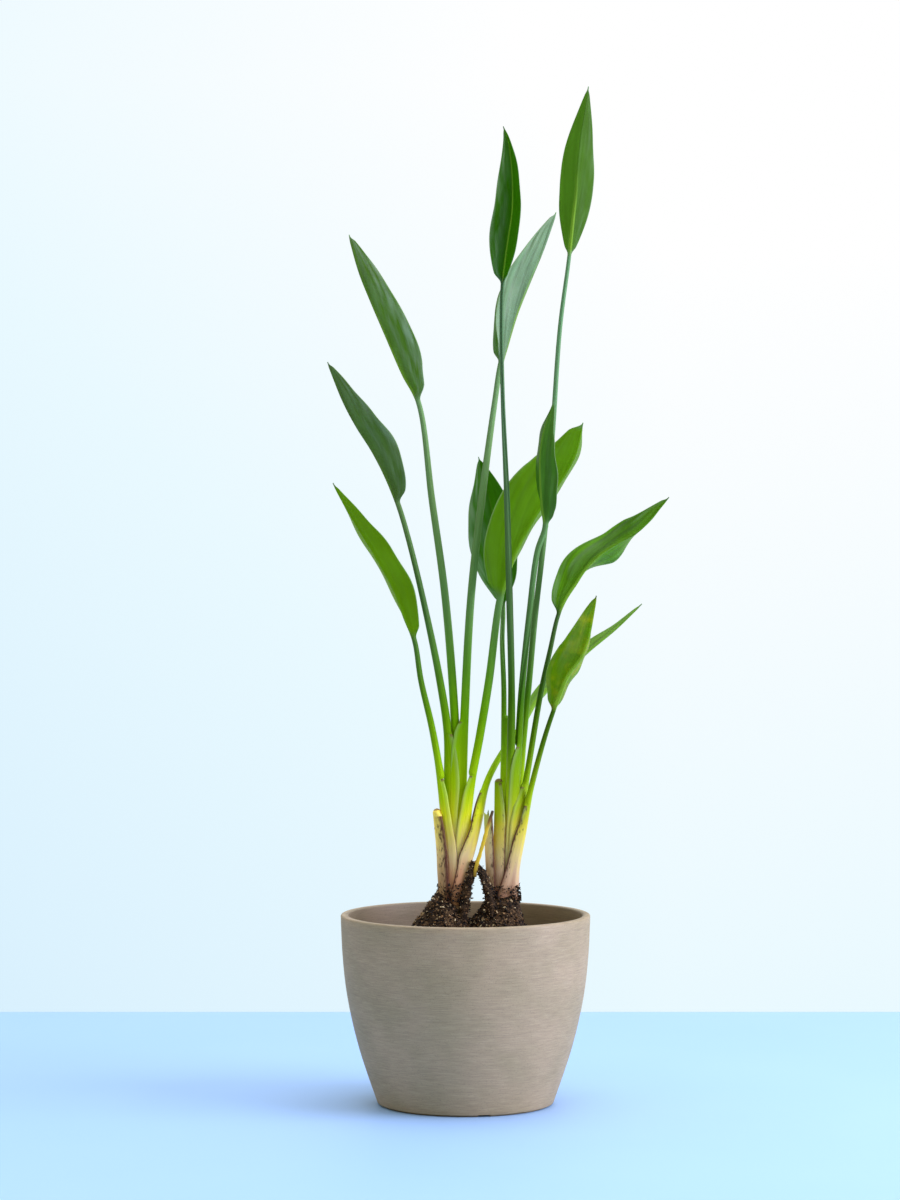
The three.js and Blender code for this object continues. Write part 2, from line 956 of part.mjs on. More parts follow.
function oldRootSolid(grow) {
  const radii = OLD_ROOT.radii.map((radius) => radius + grow);
  const arms = OLD_ROOT.arms.map((arm) => toSolid(rootGeometry(arm, radii, OLD_ROOT.sides)));
  return arms[0].add(arms[1]);
}

const group = new THREE.Group();
group.name = "potted_bird_of_paradise";

function addPiece(name, solid, colour, roughness) {
  const material = new THREE.MeshStandardMaterial({ color: colour, roughness, metalness: 0 });
  const mesh = new THREE.Mesh(toGeometry(solid), material);
  mesh.name = name;
  group.add(mesh);
}

// Pieces of a shoot from the inside out: each outer one makes room for those it wraps.
const NESTING = [
  [
    "left_leaf_1",
    "left_leaf_4",
    "left_leaf_2",
    "left_leaf_5",
    "left_leaf_3",
    "left_leaf_6",
    "left_cut_leaf_base",
  ],
  [
    "right_leaf_1",
    "right_leaf_3",
    "right_leaf_2",
    "right_leaf_4",
    "right_leaf_5",
    "right_leaf_6",
    "right_cut_leaf_base",
    "dried_sheath",
    "dried_strip",
  ],
];
const STALKED = [...LEAVES, ...STUMPS, STRIP];

function findPiece(name) {
  return STALKED.find((piece) => piece.name === name);
}

// The snug hole in the soil round one shoot, from the crown up through the heap.
function collarSolid(pieces) {
  const rings = pieces.flatMap((piece) =>
    stalkRings(piece, smoothPath(piece.path), COLLAR_POINTS, FACING_FRONT, FIT_GAP),
  );
  return toSolid(new ConvexGeometry(rings.flat()));
}

const holes = [oldRootSolid(FIT_GAP)];
for (const names of NESTING) {
  let taken = oldRootSolid(FIT_GAP);
  holes.push(collarSolid(names.filter((name) => name !== STRIP.name).map(findPiece)));
  for (const name of names) {
    const piece = findPiece(name);
    const whole = toSolid(piece.left ? leafGeometry(piece) : stalkGeometry(piece, 0));
    const fitted = largestBody(whole.subtract(taken));
    addPiece(name, fitted, piece.colour, piece.left ? LEAF_ROUGHNESS : DRY_ROUGHNESS);
    taken = taken.add(toSolid(stalkGeometry(piece, FIT_GAP)));
  }
}
holes.push(toSolid(stalkGeometry(STRIP, FIT_GAP)));

for (const stock of ROOTSTOCKS) {
  addPiece(stock.name, rootstockSolid(stock, 0), ROOTSTOCK_COLOUR, DRY_ROUGHNESS);
  holes.push(rootstockSolid(stock, FIT_GAP));
}
const soil = holes.reduce((left, hole) => left.subtract(hole), soilSolid());
addPiece(OLD_ROOT.name, oldRootSolid(0), OLD_ROOT.colour, SOIL_ROUGHNESS);
addPiece("potting_soil", largestBody(soil), SOIL_COLOUR, SOIL_ROUGHNESS);
addPiece("pot", potSolid(), POT_COLOUR, POT_ROUGHNESS);

export default group;
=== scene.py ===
import math
from functools import partial

import bpy
import numpy as np
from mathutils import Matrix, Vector, noise


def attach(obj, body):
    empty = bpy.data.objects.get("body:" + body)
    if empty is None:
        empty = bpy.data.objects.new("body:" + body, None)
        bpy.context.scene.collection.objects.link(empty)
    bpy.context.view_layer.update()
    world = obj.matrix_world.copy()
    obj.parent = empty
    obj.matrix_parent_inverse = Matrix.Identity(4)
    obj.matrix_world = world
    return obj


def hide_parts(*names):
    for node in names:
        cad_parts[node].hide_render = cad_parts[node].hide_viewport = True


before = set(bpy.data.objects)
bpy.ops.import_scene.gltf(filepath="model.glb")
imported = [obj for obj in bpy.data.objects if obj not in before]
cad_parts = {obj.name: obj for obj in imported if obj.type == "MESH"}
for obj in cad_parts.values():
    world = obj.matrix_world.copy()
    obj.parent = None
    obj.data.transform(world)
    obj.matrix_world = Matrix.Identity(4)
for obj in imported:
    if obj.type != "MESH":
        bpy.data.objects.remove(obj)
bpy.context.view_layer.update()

# Studio: the planter stands on a board painted matt pale blue, whose straight back edge ends before
# a white wall. A tall soft window light at the right, a soft ceiling light and the bright wall
# light it.
MM = 0.001
BOARD_BACK = 533
BOARD_REACH = 6000
BOARD_BLUES = ("#a7c7ea", "#aac9eb")
BOARD_MOTTLE = 240
CAMERA_PLACE = (-12.4, -2880, 469)
CAMERA_PITCH = 1.297  # degrees below level
LENS, SENSOR = 108, 36
# Lights: place and aim in metres, width and height in metres, power in watts, colour.
LIGHTS = {
    "window": ((2.4, -0.8, 1.2), (0, 0, 0.35), (1.8, 2.2), 96, "#d0d9ff"),
    "ceiling": ((0.3, 0.1, 3.0), (0, 0, 0.2), (2.4, 2.4), 60, "#d0dcff"),
}


def linear(code):
    """Linear colour of an sRGB hex code."""
    channels = [int(code[i : i + 2], 16) / 255 for i in (1, 3, 5)]
    turned = [c / 12.92 if c <= 0.04045 else ((c + 0.055) / 1.055) ** 2.4 for c in channels]
    return (*turned, 1.0)


def grow_node(tree, kind, sockets=None, stops=None, **settings):
    """Adds a node. Kind is its type without ShaderNode, settings are its own, and sockets are
    values, outputs to link, or nodes whose first output is linked. Stops are the places and colours
    of a ramp, its two ends first."""
    node = tree.nodes.new(f"ShaderNode{kind}")
    for name, value in settings.items():
        setattr(node, name, value)
    for name, value in (sockets or {}).items():
        if isinstance(value, bpy.types.Node):
            value = next(output for output in value.outputs if output.enabled)
        if isinstance(value, bpy.types.NodeSocket):
            tree.links.new(value, node.inputs[name])
        else:
            node.inputs[name].default_value = value
    for number, (place, code) in enumerate(stops or []):
        elements = node.color_ramp.elements
        stop = elements[number] if number < 2 else elements.new(place)
        stop.position = place
        stop.color = linear(code)
    return node


def start_material(name):
    """An empty material and the function that adds its nodes."""
    material = bpy.data.materials.new(name)
    material.use_nodes = True
    material.node_tree.nodes.clear()
    return material, partial(grow_node, material.node_tree)


def mesh_piece(name, points, faces, material, marks=None):
    """A smooth mesh from points in mm. Marks are numbers kept at each point for its material."""
    mesh = bpy.data.meshes.new(name)
    mesh.from_pydata((np.asarray(points) * MM).tolist(), [], faces)
    for mark, values in (marks or {}).items():
        layer = mesh.attributes.new(mark, "FLOAT", "POINT")
        layer.data.foreach_set("value", np.asarray(values, np.float32))
    mesh.shade_smooth()
    mesh.materials.append(material)
    piece = bpy.data.objects.new(name, mesh)
    bpy.context.scene.collection.objects.link(piece)
    return piece


paint, add = start_material("MattBluePaint")
place = add("TexCoord").outputs["Object"]
cloud = add("TexNoise", {"Vector": place, "Scale": 1 / (BOARD_MOTTLE * MM)})
tint = add("ValToRGB", {"Fac": cloud}, stops=list(zip((0.3, 0.7), BOARD_BLUES)))
shader = add("BsdfPrincipled", {"Base Color": tint, "Roughness": 0.6})
add("OutputMaterial", {"Surface": shader})
corners = [
    (x, y, 0)
    for x, y in (
        (-BOARD_REACH, -BOARD_REACH),
        (BOARD_REACH, -BOARD_REACH),
        (BOARD_REACH, BOARD_BACK),
        (-BOARD_REACH, BOARD_BACK),
    )
]
board = mesh_piece("board", corners, [(0, 1, 2, 3)], paint)

# The wall that the camera sees turns whiter to the right and upwards. The light in the room is warm
# and dim at the left and front, bright from the wall and the window side, and blue from above.
world = bpy.data.worlds.new("studio")
world.use_nodes = True
world.node_tree.nodes.clear()
add = partial(grow_node, world.node_tree)
way = add("TexCoord").outputs["Generated"]
way = add("SeparateXYZ", {"Vector": way}).outputs
shares = {}
for side, axis, low, high in (
    ("right", "X", -0.13, 0.06), ("up", "Z", -0.14, 0.12), ("above", "Z", 0.15, 0.8),
):
    shares[side] = add("MapRange", {"Value": way[axis], "From Min": low, "From Max": high})
sums = {}
for name, first, times, second, also in (
    ("wall", shares["up"], 0.55, shares["right"], 0.45), ("room", way["Y"], 0.6, way["X"], 0.5),
):
    part = add("Math", {0: second, 1: also}, operation="MULTIPLY")
    sums[name] = add("Math", {0: first, 1: times, 2: part}, operation="MULTIPLY_ADD")
wall = add(
    "ValToRGB", {"Fac": sums["wall"]}, stops=[(0.0, "#d8f0fe"), (0.9, "#ffffff"), (0.45, "#e9f9ff")]
)
room = add("MapRange", {"Value": sums["room"], "From Min": -0.6, "From Max": 0.7})
room = add("ValToRGB", {"Fac": room}, stops=[(0.0, "#a8955f"), (1.0, "#fdfeff"), (0.5, "#d8d0c2")])
room = add("Mix", {"Factor": shares["above"], "A": room, "B": linear("#d8ebfb")}, data_type="RGBA")
seen = add("LightPath").outputs["Is Camera Ray"]
backdrop = add("Mix", {"Factor": seen, "A": room, "B": wall}, data_type="RGBA")
glow = add("Background", {"Color": backdrop, "Strength": 1.0})
add("OutputWorld", {"Surface": glow})
bpy.context.scene.world = world

for name, (place, aim, size, power, colour) in LIGHTS.items():
    lamp = bpy.data.lights.new(name, "AREA")
    lamp.shape = "RECTANGLE"
    lamp.size, lamp.size_y = size
    lamp.energy = power
    lamp.color = linear(colour)[:3]
    light = bpy.data.objects.new(name, lamp)
    light.location = place
    light.rotation_euler = (Vector(aim) - Vector(place)).to_track_quat("-Z", "Y").to_euler()
    bpy.context.scene.collection.objects.link(light)

view = bpy.data.cameras.new("camera")
view.sensor_width = SENSOR
view.lens = LENS
camera = bpy.data.objects.new("camera", view)
camera.location = [mm * MM for mm in CAMERA_PLACE]
camera.rotation_euler = (math.radians(90 - CAMERA_PITCH), 0, 0)
bpy.context.scene.collection.objects.link(camera)
bpy.context.scene.camera = camera
bpy.context.scene.view_settings.view_transform = "Standard"

# Planter: a round cup moulded from recycled plastic with stone powder, wiped level as it turned, so
# fine taupe strands run round it. Matt, with a rounded lip and three shallow grooves underneath.
POT_TURNS = 288
# Radius and height of the outer side from foot to lip, and from its foot the step it stands on.
POT_SIDE = [(70.9, 2), (77.3, 20), (85.4, 45), (91.6, 70), (95.8, 93), (98.6, 120), (100, 149)]
FOOT_STEP = [(-3.4, 0), (-3.2, 1.0), (-1.0, 1.2), (-0.3, 1.4)]
FOOT_HOLLOW = 42  # radius of the foot's smooth middle
POT_HEIGHT = 152
POT_WALL = 6.3
POT_FLOOR = 8
FLOOR_ROUND = [(0, 3), (2.5, 0)]  # corner at the inner floor: in from the wall, up from the floor
LIP_ROUND, LIP_START = 1.5, 0.15  # radius of the lip's edges, radians at which their round begins
WALL_CLEAR = 8  # the wall's inner points keep this far from floor and lip
GROOVE_ANGLES = (-78, 42, 162)
GROOVE = {"from": 50, "to": 80, "width": 10, "depth": 1.6}
STRAND_LENGTH, STRAND_WIDTH, CLOUD_SIZE, GRIT_SIZE = 12, 0.55, 34, 0.75
SOIL_LEVEL = 122


def smooth_line(knots, steps):
    """Points of a smooth curve through the knots, timed by the root of the gaps between them."""
    knots = np.array(knots, float)
    knots = np.vstack([2 * knots[0] - knots[1], knots, 2 * knots[-1] - knots[-2]])
    line = [knots[1]]
    for a, b, c, d in zip(knots, knots[1:], knots[2:], knots[3:]):
        gaps = [math.sqrt(np.linalg.norm(q - p)) for p, q in ((a, b), (b, c), (c, d))]
        leave = (b - a) / gaps[0] - (c - a) / (gaps[0] + gaps[1]) + (c - b) / gaps[1]
        arrive = (c - b) / gaps[1] - (d - b) / (gaps[1] + gaps[2]) + (d - c) / gaps[2]
        leave, arrive = leave * gaps[1], arrive * gaps[1]
        for t in np.linspace(0, 1, steps + 1)[1:]:
            line.append(
                b
                + leave * t
                + (3 * (c - b) - 2 * leave - arrive) * t**2
                + (2 * (b - c) + leave + arrive) * t**3
            )
    return np.array(line)


def turned(profile, turns):
    """Points and faces of a closed profile from axis to axis, turned round Z."""
    points = [(0, 0, profile[0][1]), (0, 0, profile[-1][1])]
    ring = profile[1:-1]
    angles = np.linspace(0, 2 * math.pi, turns, endpoint=False)
    points += [(r * math.cos(a), r * math.sin(a), z) for r, z in ring for a in angles]
    faces = []
    for j in range(turns):
        k = (j + 1) % turns
        faces.append((0, 2 + k, 2 + j))
        last = 2 + (len(ring) - 1) * turns
        faces.append((1, last + j, last + k))
        for i in range(len(ring) - 1):
            low = 2 + i * turns
            faces.append((low + j, low + k, low + turns + k, low + turns + j))
    return points, faces


def pot_radius(height):
    """Radius of the outer face at a height."""
    line = smooth_line(POT_SIDE, 12)
    return np.interp(height, line[:, 1], line[:, 0])


lip = POT_SIDE[-1][0]
rim = [
    (lip - LIP_ROUND * (1 - math.cos(a)), POT_HEIGHT - LIP_ROUND * (1 - math.sin(a)))
    for a in np.linspace(LIP_START, math.pi / 2, 5)
]
inner_rim = [(2 * lip - POT_WALL - r, z) for r, z in reversed(rim)]
outer = [tuple(p) for p in smooth_line(POT_SIDE, 8)]
foot = POT_SIDE[0][0]
profile = [
    (0, 0),
    (FOOT_HOLLOW, 0),
    *[(foot + r, z) for r, z in FOOT_STEP],
    *outer[:-1],
    *rim,
    *inner_rim,
    *[
        (r - POT_WALL, z)
        for r, z in reversed(outer)
        if POT_FLOOR + WALL_CLEAR < z < POT_HEIGHT - WALL_CLEAR
    ],
    *[(pot_radius(POT_FLOOR + up) - POT_WALL - r, POT_FLOOR + up) for r, up in FLOOR_ROUND],
    (0, POT_FLOOR),
]

plastic, add = start_material("MouldedRecycledPlasticTaupe")
place = add("TexCoord").outputs["Object"]
strands = [1 / (size * MM) for size in (STRAND_LENGTH, STRAND_LENGTH, STRAND_WIDTH)]
strands = add("Mapping", {"Vector": place, "Scale": strands})
patterns = {}
for kind, where, scale, detail, roughness in (
    ("fine", strands, 1.0, 4.0, 0.65),
    ("broad", strands, 0.35, 4.0, 0.6),
    ("cloud", place, 1 / (CLOUD_SIZE * MM), 2.0, 0.5),
    ("grit", place, 1 / (GRIT_SIZE * MM), 1.0, 0.5),
):
    patterns[kind] = add(
        "TexNoise", {"Vector": where, "Scale": scale, "Detail": detail, "Roughness": roughness}
    )
taupe = add(
    "ValToRGB",
    {"Fac": patterns["fine"]},
    stops=[(0.28, "#8f7657"), (0.72, "#c2aa82"), (0.5, "#ab926a")],
)
warm = add("ValToRGB", {"Fac": patterns["cloud"]}, stops=[(0.35, "#a18964"), (0.65, "#b99977")])
mixed = add("Mix", {"Factor": 0.45, "A": taupe, "B": warm}, data_type="RGBA")
# Brightness: lighter and darker strands, dark grit, and inside a darkening told by the depth in
# mm below the outer face, partly a film of soil dust and partly painted shade in the hollow.
depth = add("Attribute", attribute_name="depth").outputs["Fac"]
brightness = 1.0
for source, *span in (
    (patterns["broad"], 0.3, 0.7, 0.95, 1.05),
    (patterns["grit"], 0.28, 0.42, 0.76, 1.01),
    (depth, 2.5, 6.0, 1.0, 0.6),
):
    share = add("MapRange", dict(enumerate((source, *span))))
    brightness = add("Math", {0: brightness, 1: share}, operation="MULTIPLY")
shade = add("HueSaturation", {"Color": mixed, "Value": brightness})
relief = add("Bump", {"Height": patterns["fine"], "Strength": 0.35, "Distance": 0.2 * MM})
shader = add(
    "BsdfPrincipled", {"Base Color": shade, "Roughness": 0.62, "IOR": 1.5, "Normal": relief}
)
add("OutputMaterial", {"Surface": shader})

points, faces = turned(profile, POT_TURNS)
across, up = np.hypot(*np.array(points)[:, :2].T), np.array(points)[:, 2]
depth = np.where(up > POT_SIDE[0][1], pot_radius(up) - across, 0)
pot = mesh_piece("planter", points, faces, plastic, {"depth": depth})
cutters = []
for angle in GROOVE_ANGLES:
    bpy.ops.mesh.primitive_cube_add(size=1)
    cutter = bpy.context.object
    turn = math.radians(angle)
    middle = (GROOVE["from"] + GROOVE["to"]) / 2 * MM
    cutter.location = (middle * math.cos(turn), middle * math.sin(turn), 0)
    cutter.rotation_euler = (0, 0, turn)
    length = GROOVE["to"] - GROOVE["from"]
    cutter.scale = [mm * MM for mm in (length, GROOVE["width"], 2 * GROOVE["depth"])]
    cut = pot.modifiers.new("groove", "BOOLEAN")
    cut.operation = "DIFFERENCE"
    cut.object = cutter
    cutters.append(cutter)
bpy.context.view_layer.update()
grooved = bpy.data.meshes.new_from_object(
    pot.evaluated_get(bpy.context.evaluated_depsgraph_get())
)
pot.modifiers.clear()
pot.data = grooved
for cutter in cutters:
    bpy.data.objects.remove(cutter)
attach(pot, "root")
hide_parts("pot")

# Potting soil: dark moist peat that fills the planter and is heaped round each shoot. It is one
# rough closed body, matt and black-brown.
SOIL_TURNS = 240
SOIL_RINGS = 96
SOIL_GAP = 0.35
SOIL_SIDE = (12, 110)  # heights between which its side follows the wall
# Each mound: middle x and y, height of its top, how far it reaches, and how blunt it is.
MOUNDS = [(-18, -2, 173, 40, 1.25), (25, -2, 170, 38, 1.3), (30, -2, 168, 20.5, 4.5)]
SLOPE = 1.2
CLODS = [(9.0, 2.0), (3.6, 1.7), (1.5, 0.8)]  # width and height of the clods, from coarse to fine
CRUMB, DAMP_PATCH = 1.3, 11


def soil_height(x, y):
    """Height of the soil at a place: level near the wall, heaped at the shoots, with clods."""
    heap = max(
        (top - SOIL_LEVEL) * (1 - min(math.hypot(x - mx, y - my) / reach, 1) ** blunt) ** SLOPE
        for mx, my, top, reach, blunt in MOUNDS
    )
    clods = sum(high * noise.noise(Vector((x, y, heap)) / wide) for wide, high in CLODS)
    return SOIL_LEVEL + heap + clods


soil_edge = float(pot_radius(SOIL_LEVEL)) - POT_WALL - SOIL_GAP
side = [
    (float(pot_radius(z)) - POT_WALL - SOIL_GAP, z) for z in np.linspace(*SOIL_SIDE, 8)
]
top = [(soil_edge * (1 - i / SOIL_RINGS), SOIL_LEVEL) for i in range(SOIL_RINGS)]
profile = [
    (0, POT_FLOOR + SOIL_GAP),
    (float(pot_radius(POT_FLOOR)) - POT_WALL - 3, POT_FLOOR + SOIL_GAP),
    *side,
    *top,
    (0, SOIL_LEVEL),
]
points, faces = turned(profile, SOIL_TURNS)
points = [(x, y, soil_height(x, y)) if z == SOIL_LEVEL else (x, y, z) for x, y, z in points]

peat, add = start_material("MoistPeat")
place = add("TexCoord").outputs["Object"]
crumbs = add(
    "TexNoise", {"Vector": place, "Scale": 1 / (CRUMB * MM), "Detail": 5.0, "Roughness": 0.7}
)
damp = add("TexNoise", {"Vector": place, "Scale": 1 / (DAMP_PATCH * MM), "Detail": 2.0})
mixed = add("Math", {0: damp, 1: 0.5, 2: crumbs}, operation="MULTIPLY_ADD")
brown = add(
    "ValToRGB", {"Fac": mixed}, stops=[(0.58, "#0f0a06"), (0.94, "#80603e"), (0.77, "#3c2a17")]
)
relief = add("Bump", {"Height": crumbs, "Strength": 1.0, "Distance": 0.8 * MM})
shader = add(
    "BsdfPrincipled", {"Base Color": brown, "Roughness": 0.9, "IOR": 1.3, "Normal": relief}
)
add("OutputMaterial", {"Surface": shader})

soil = mesh_piece("soil_body", points, faces, peat)
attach(soil, "root")
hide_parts("potting_soil")

# Loose bits on the soil: bark chips, coir crumbs and pale grit that lie half sunk in the peat. Each
# has one tone, from nearly black through brown to a few pale ones.
BIT_SEED = 21
BITS_ON_MOUNDS = 9000
BITS_ON_LEVEL = 3800
BITS_ON_COLLARS = 1500
# Collar of soil round the foot of each shoot: x, half-width, half-depth, lowest and highest bits.
COLLARS = [(-10, 11.5, 9.5, 163, 177), (30, 13.5, 9.5, 163, 176)]
COLLAR_Y = -2
COLLAR_DAMP = 0.8  # the soil that clings to the shoots is damp, so its bits are darker
BIT_SIZES = (0.4, 2.1)
TIPPED = 0.16  # the flakes lie nearly flat: they tip and roll by up to this part of a turn
BIT_GRAIN = 0.9

bits_finish, add = start_material("BarkCoirAndGrit")
tone = add("Attribute", attribute_name="tone").outputs["Fac"]
place = add("TexCoord").outputs["Object"]
grain = add("TexNoise", {"Vector": place, "Scale": 1 / (BIT_GRAIN * MM), "Detail": 2.0})
blend = add("Math", {0: grain, 1: 0.1, 2: tone}, operation="MULTIPLY_ADD")
bark = add(
    "ValToRGB",
    {"Fac": blend},
    stops=[
        (0.0, "#0a0705"),
        (1.0, "#dcc090"),
        (0.47, "#1e150c"),
        (0.7, "#452f1c"),
        (0.84, "#74512f"),
        (0.95, "#a57e50"),
    ],
)
relief = add("Bump", {"Height": grain, "Strength": 0.6, "Distance": 0.2 * MM})
shader = add(
    "BsdfPrincipled", {"Base Color": bark, "Roughness": 0.75, "IOR": 1.3, "Normal": relief}
)
add("OutputMaterial", {"Surface": shader})

CORNERS = np.array(
    [(1, 0, 0), (0, 1, 0), (-1, 0, 0), (0, -1, 0), (0, 0, 1), (0, 0, -1)], float
)
CORNER_FACES = [
    (0, 1, 4), (1, 2, 4), (2, 3, 4), (3, 0, 4),
    (1, 0, 5), (2, 1, 5), (3, 2, 5), (0, 3, 5),
]


def loose_bits(places, draw, sizes):
    """Points, faces and tones of small broken flakes lying at the places, which are (x, y, z)."""
    count, corners = len(places), len(CORNERS)
    long = sizes[0] + (sizes[1] - sizes[0]) * draw.random(count) ** 2.2
    wide = long * draw.uniform(0.35, 0.9, count)
    thick = long * draw.uniform(0.2, 0.6, count)
    shape = np.repeat(CORNERS[None], count, 0) * draw.uniform(0.6, 1.25, (count, corners, 1))
    shape += draw.uniform(-0.25, 0.25, (count, corners, 3))
    shape *= np.stack([long, wide, thick], 1)[:, None]
    turns = draw.uniform(0, 2 * math.pi, (3, count)) * np.array([[1], [TIPPED], [TIPPED]])
    x, y, z = shape[..., 0], shape[..., 1], shape[..., 2]
    turn_c, tip_c, roll_c = np.cos(turns)[..., None]
    turn_s, tip_s, roll_s = np.sin(turns)[..., None]
    x, z = tip_c * x - tip_s * z, tip_s * x + tip_c * z
    y, z = roll_c * y - roll_s * z, roll_s * y + roll_c * z
    x, y = turn_c * x - turn_s * y, turn_s * x + turn_c * y
    points = (np.stack([x, y, z], 2) + np.asarray(places)[:, None]).reshape(-1, 3)
    faces = [tuple(corners * i + k for k in face) for i in range(count) for face in CORNER_FACES]
    return points, faces, np.repeat(draw.random(count), corners)


# The bits crowd toward the tops of the mounds, and on the collars toward the soil.
draw = np.random.default_rng(BIT_SEED)
places = []
for _ in range(BITS_ON_MOUNDS):
    mx, my, _, reach, _ = MOUNDS[int(draw.integers(2))]
    turn, away = draw.uniform(0, 2 * math.pi), reach * draw.random() ** 0.7
    x, y = mx + away * math.cos(turn), my + away * math.sin(turn)
    places.append((x, y, soil_height(x, y) + draw.uniform(-0.3, 1.0)))
for _ in range(BITS_ON_LEVEL):
    turn, away = draw.uniform(0, 2 * math.pi), (soil_edge - 2) * math.sqrt(draw.random())
    x, y = away * math.cos(turn), away * math.sin(turn)
    places.append((x, y, soil_height(x, y) + draw.uniform(-0.2, 0.7)))
for _ in range(BITS_ON_COLLARS):
    cx, half, deep, low, high = COLLARS[int(draw.integers(len(COLLARS)))]
    turn, climb = draw.uniform(0, 2 * math.pi), draw.random() ** 1.6
    swell = 1 + draw.uniform(-0.04, 0.1) * (1 - climb)
    x, y = cx + half * swell * math.cos(turn), COLLAR_Y + deep * swell * math.sin(turn)
    places.append((x, y, low + (high - low) * climb))
points, faces, tones = loose_bits(places, draw, BIT_SIZES)
tones[-len(CORNERS) * BITS_ON_COLLARS :] *= COLLAR_DAMP
bits = mesh_piece("soil_bits", points, faces, bits_finish, {"tone": tones})
bits.data.shade_flat()
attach(bits, "root")

# Rootstocks: the fleshy tan crown under each shoot with its roots. The soil covers them, so the
# solids stay as they are and only get the skin's colour and its fine rings.
RING_SIZES = (11.1, 11.1, 1.43)
skin, add = start_material("FleshyRootSkin")
place = add("TexCoord").outputs["Object"]
rings = add("Mapping", {"Vector": place, "Scale": [1 / (mm * MM) for mm in RING_SIZES]})
rings = add("TexNoise", {"Vector": rings, "Scale": 1.0, "Detail": 3.0})
tan = add("ValToRGB", {"Fac": rings}, stops=[(0.3, "#6f4f30"), (0.7, "#c79f6d")])
relief = add("Bump", {"Height": rings, "Strength": 0.5, "Distance": 0.3 * MM})
shader = add("BsdfPrincipled", {"Base Color": tan, "Roughness": 0.7, "Normal": relief})
add("OutputMaterial", {"Surface": shader})
for name in ("left_rootstock", "right_rootstock"):
    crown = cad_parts[name]
    crown.data.materials.clear()
    crown.data.materials.append(skin)

# Leaves of the left shoot: each grows as one piece, from an open sheath that clasps the shoot, up a
# channelled stalk, to a leathery folded blade with a midrib and fine veins that reach the margin.
LINE_STEPS = 32
FACE_HALF = np.array([0, 0.03, 0.07, 0.13, 0.21, 0.31, 0.42, 0.54, 0.67, 0.79, 0.89, 0.96, 1])
ACROSS = np.concatenate([-FACE_HALF[:0:-1], FACE_HALF])
EVEN = np.linspace(-1, 1, len(ACROSS))
BLADE_STOPS = 66
STALK_STEP = 4.0
TANGENT_REACH = 0.5
RIB_HALF_THICK, MARGIN_HALF_THICK = 0.36, 0.16
RIB_SHARE = 0.8  # how far the midrib stands out, in radii of the stalk
TIP_RADIUS = 0.4
BLADE_OPENS, BLADE_CLOSES = 0.07, 0.955  # parts of the blade's length at which it is fully open
FULL_WAVE = 12  # half-width from which the margins wave fully
STALK_GAP = 24
CHANNEL_DEPTH, CHANNEL_BOW = 0.15, 0.22  # mm at the edges, and radii more in the middle
SHEATH_FOOT = 150
SHEATH_WALL, MEMBRANE = 1.1, 0.3
SHEATH_CLOSES = (34, 4)  # mm below and above its top over which its hollow closes
CLASP_BACK, CLASP_PULL, CLASP_PUSH = 1.6, 0.6, 0.55  # how round a sheath bends about the shoot
EAR_LENGTH, EAR_FALL, EAR_WIDTH = 6, 2.6, 2.5
TORN_LENGTH = 16
CROWN_LENGTH = 3.2
FAR_FROM_HEM, FAR_FROM_RIB = 50, 9
VEIN_DRIFT, STALK_VEINS = 0.8, 4
# Numbers kept at each point for the material: the inner face, how far the blade has opened, mm
# along from the blade's foot, mm across the veins, mm from the midrib, mm from the sheath's margin,
# the browned end of a sheath, how far out on the blade, and which half.
LEAF_MARKS = ("inner", "blade", "run", "vein", "rib", "hem", "ear", "reach", "half")


def smoothstep(value, low, high):
    """0 below low, 1 above high and smooth between."""
    share = np.clip((value - low) / (high - low), 0, 1)
    return share * share * (3 - 2 * share)


def between(stations, u):
    """Smooth value between even stations, u from 0 to 1."""
    place = min(max(u, 0), 1) * (len(stations) - 1)
    i = min(int(place), len(stations) - 2)
    return stations[i] + (stations[i + 1] - stations[i]) * smoothstep(place - i, 0, 1)


def lengths_along(line):
    """Length along a line from its start to each of its points."""
    return np.concatenate([[0], np.cumsum(np.linalg.norm(np.diff(line, axis=0), axis=1))])


def place_on(line, run, stop, near):
    """Centre of a ring at a length along a line, and the directions across and away from the camera
    there. Near is how far along to either side the tangent is measured."""
    centre, ahead, behind = (
        np.array([np.interp(s, run, line[:, k]) for k in range(3)])
        for s in (stop, stop + near, stop - near)
    )
    tangent = (ahead - behind) / np.linalg.norm(ahead - behind)
    across = np.cross((0, 1, 0), tangent)
    across /= np.linalg.norm(across)
    return centre, across, np.cross(tangent, across)


def fold_sides(left, right):
    """Directions of a blade's two halves in degrees, so that its back lies midway between them."""
    return (left, right + 360) if left - right < 180 else (right, left)


def stalk_section(radii, way, gap, hollow):
    """Ring round a stalk or sheath: its outer face from edge to edge of the channel, then its inner
    face back. Way is the channel's direction and gap its half-angle in degrees."""
    turns = np.radians(way + gap + (EVEN + 1) / 2 * (360 - 2 * gap))
    outer = np.stack([radii[0] * np.cos(turns), radii[1] * np.sin(turns)], 1)
    chord = outer[0] + (outer[-1] - outer[0]) * ((EVEN[:, None] + 1) / 2)
    back = -np.array([math.cos(math.radians(way)), math.sin(math.radians(way))])
    bow = CHANNEL_BOW * min(radii) * (1 - EVEN[:, None] ** 2)
    channel = chord + back * (CHANNEL_DEPTH + bow)
    wall = MEMBRANE + (SHEATH_WALL - MEMBRANE) * (1 - smoothstep(np.abs(EVEN), 0.7, 1))
    shell = outer * (1 - np.minimum(wall / min(radii), 0.5))[:, None]
    inner = channel + (shell - channel) * hollow
    return np.vstack([outer, inner[::-1]])


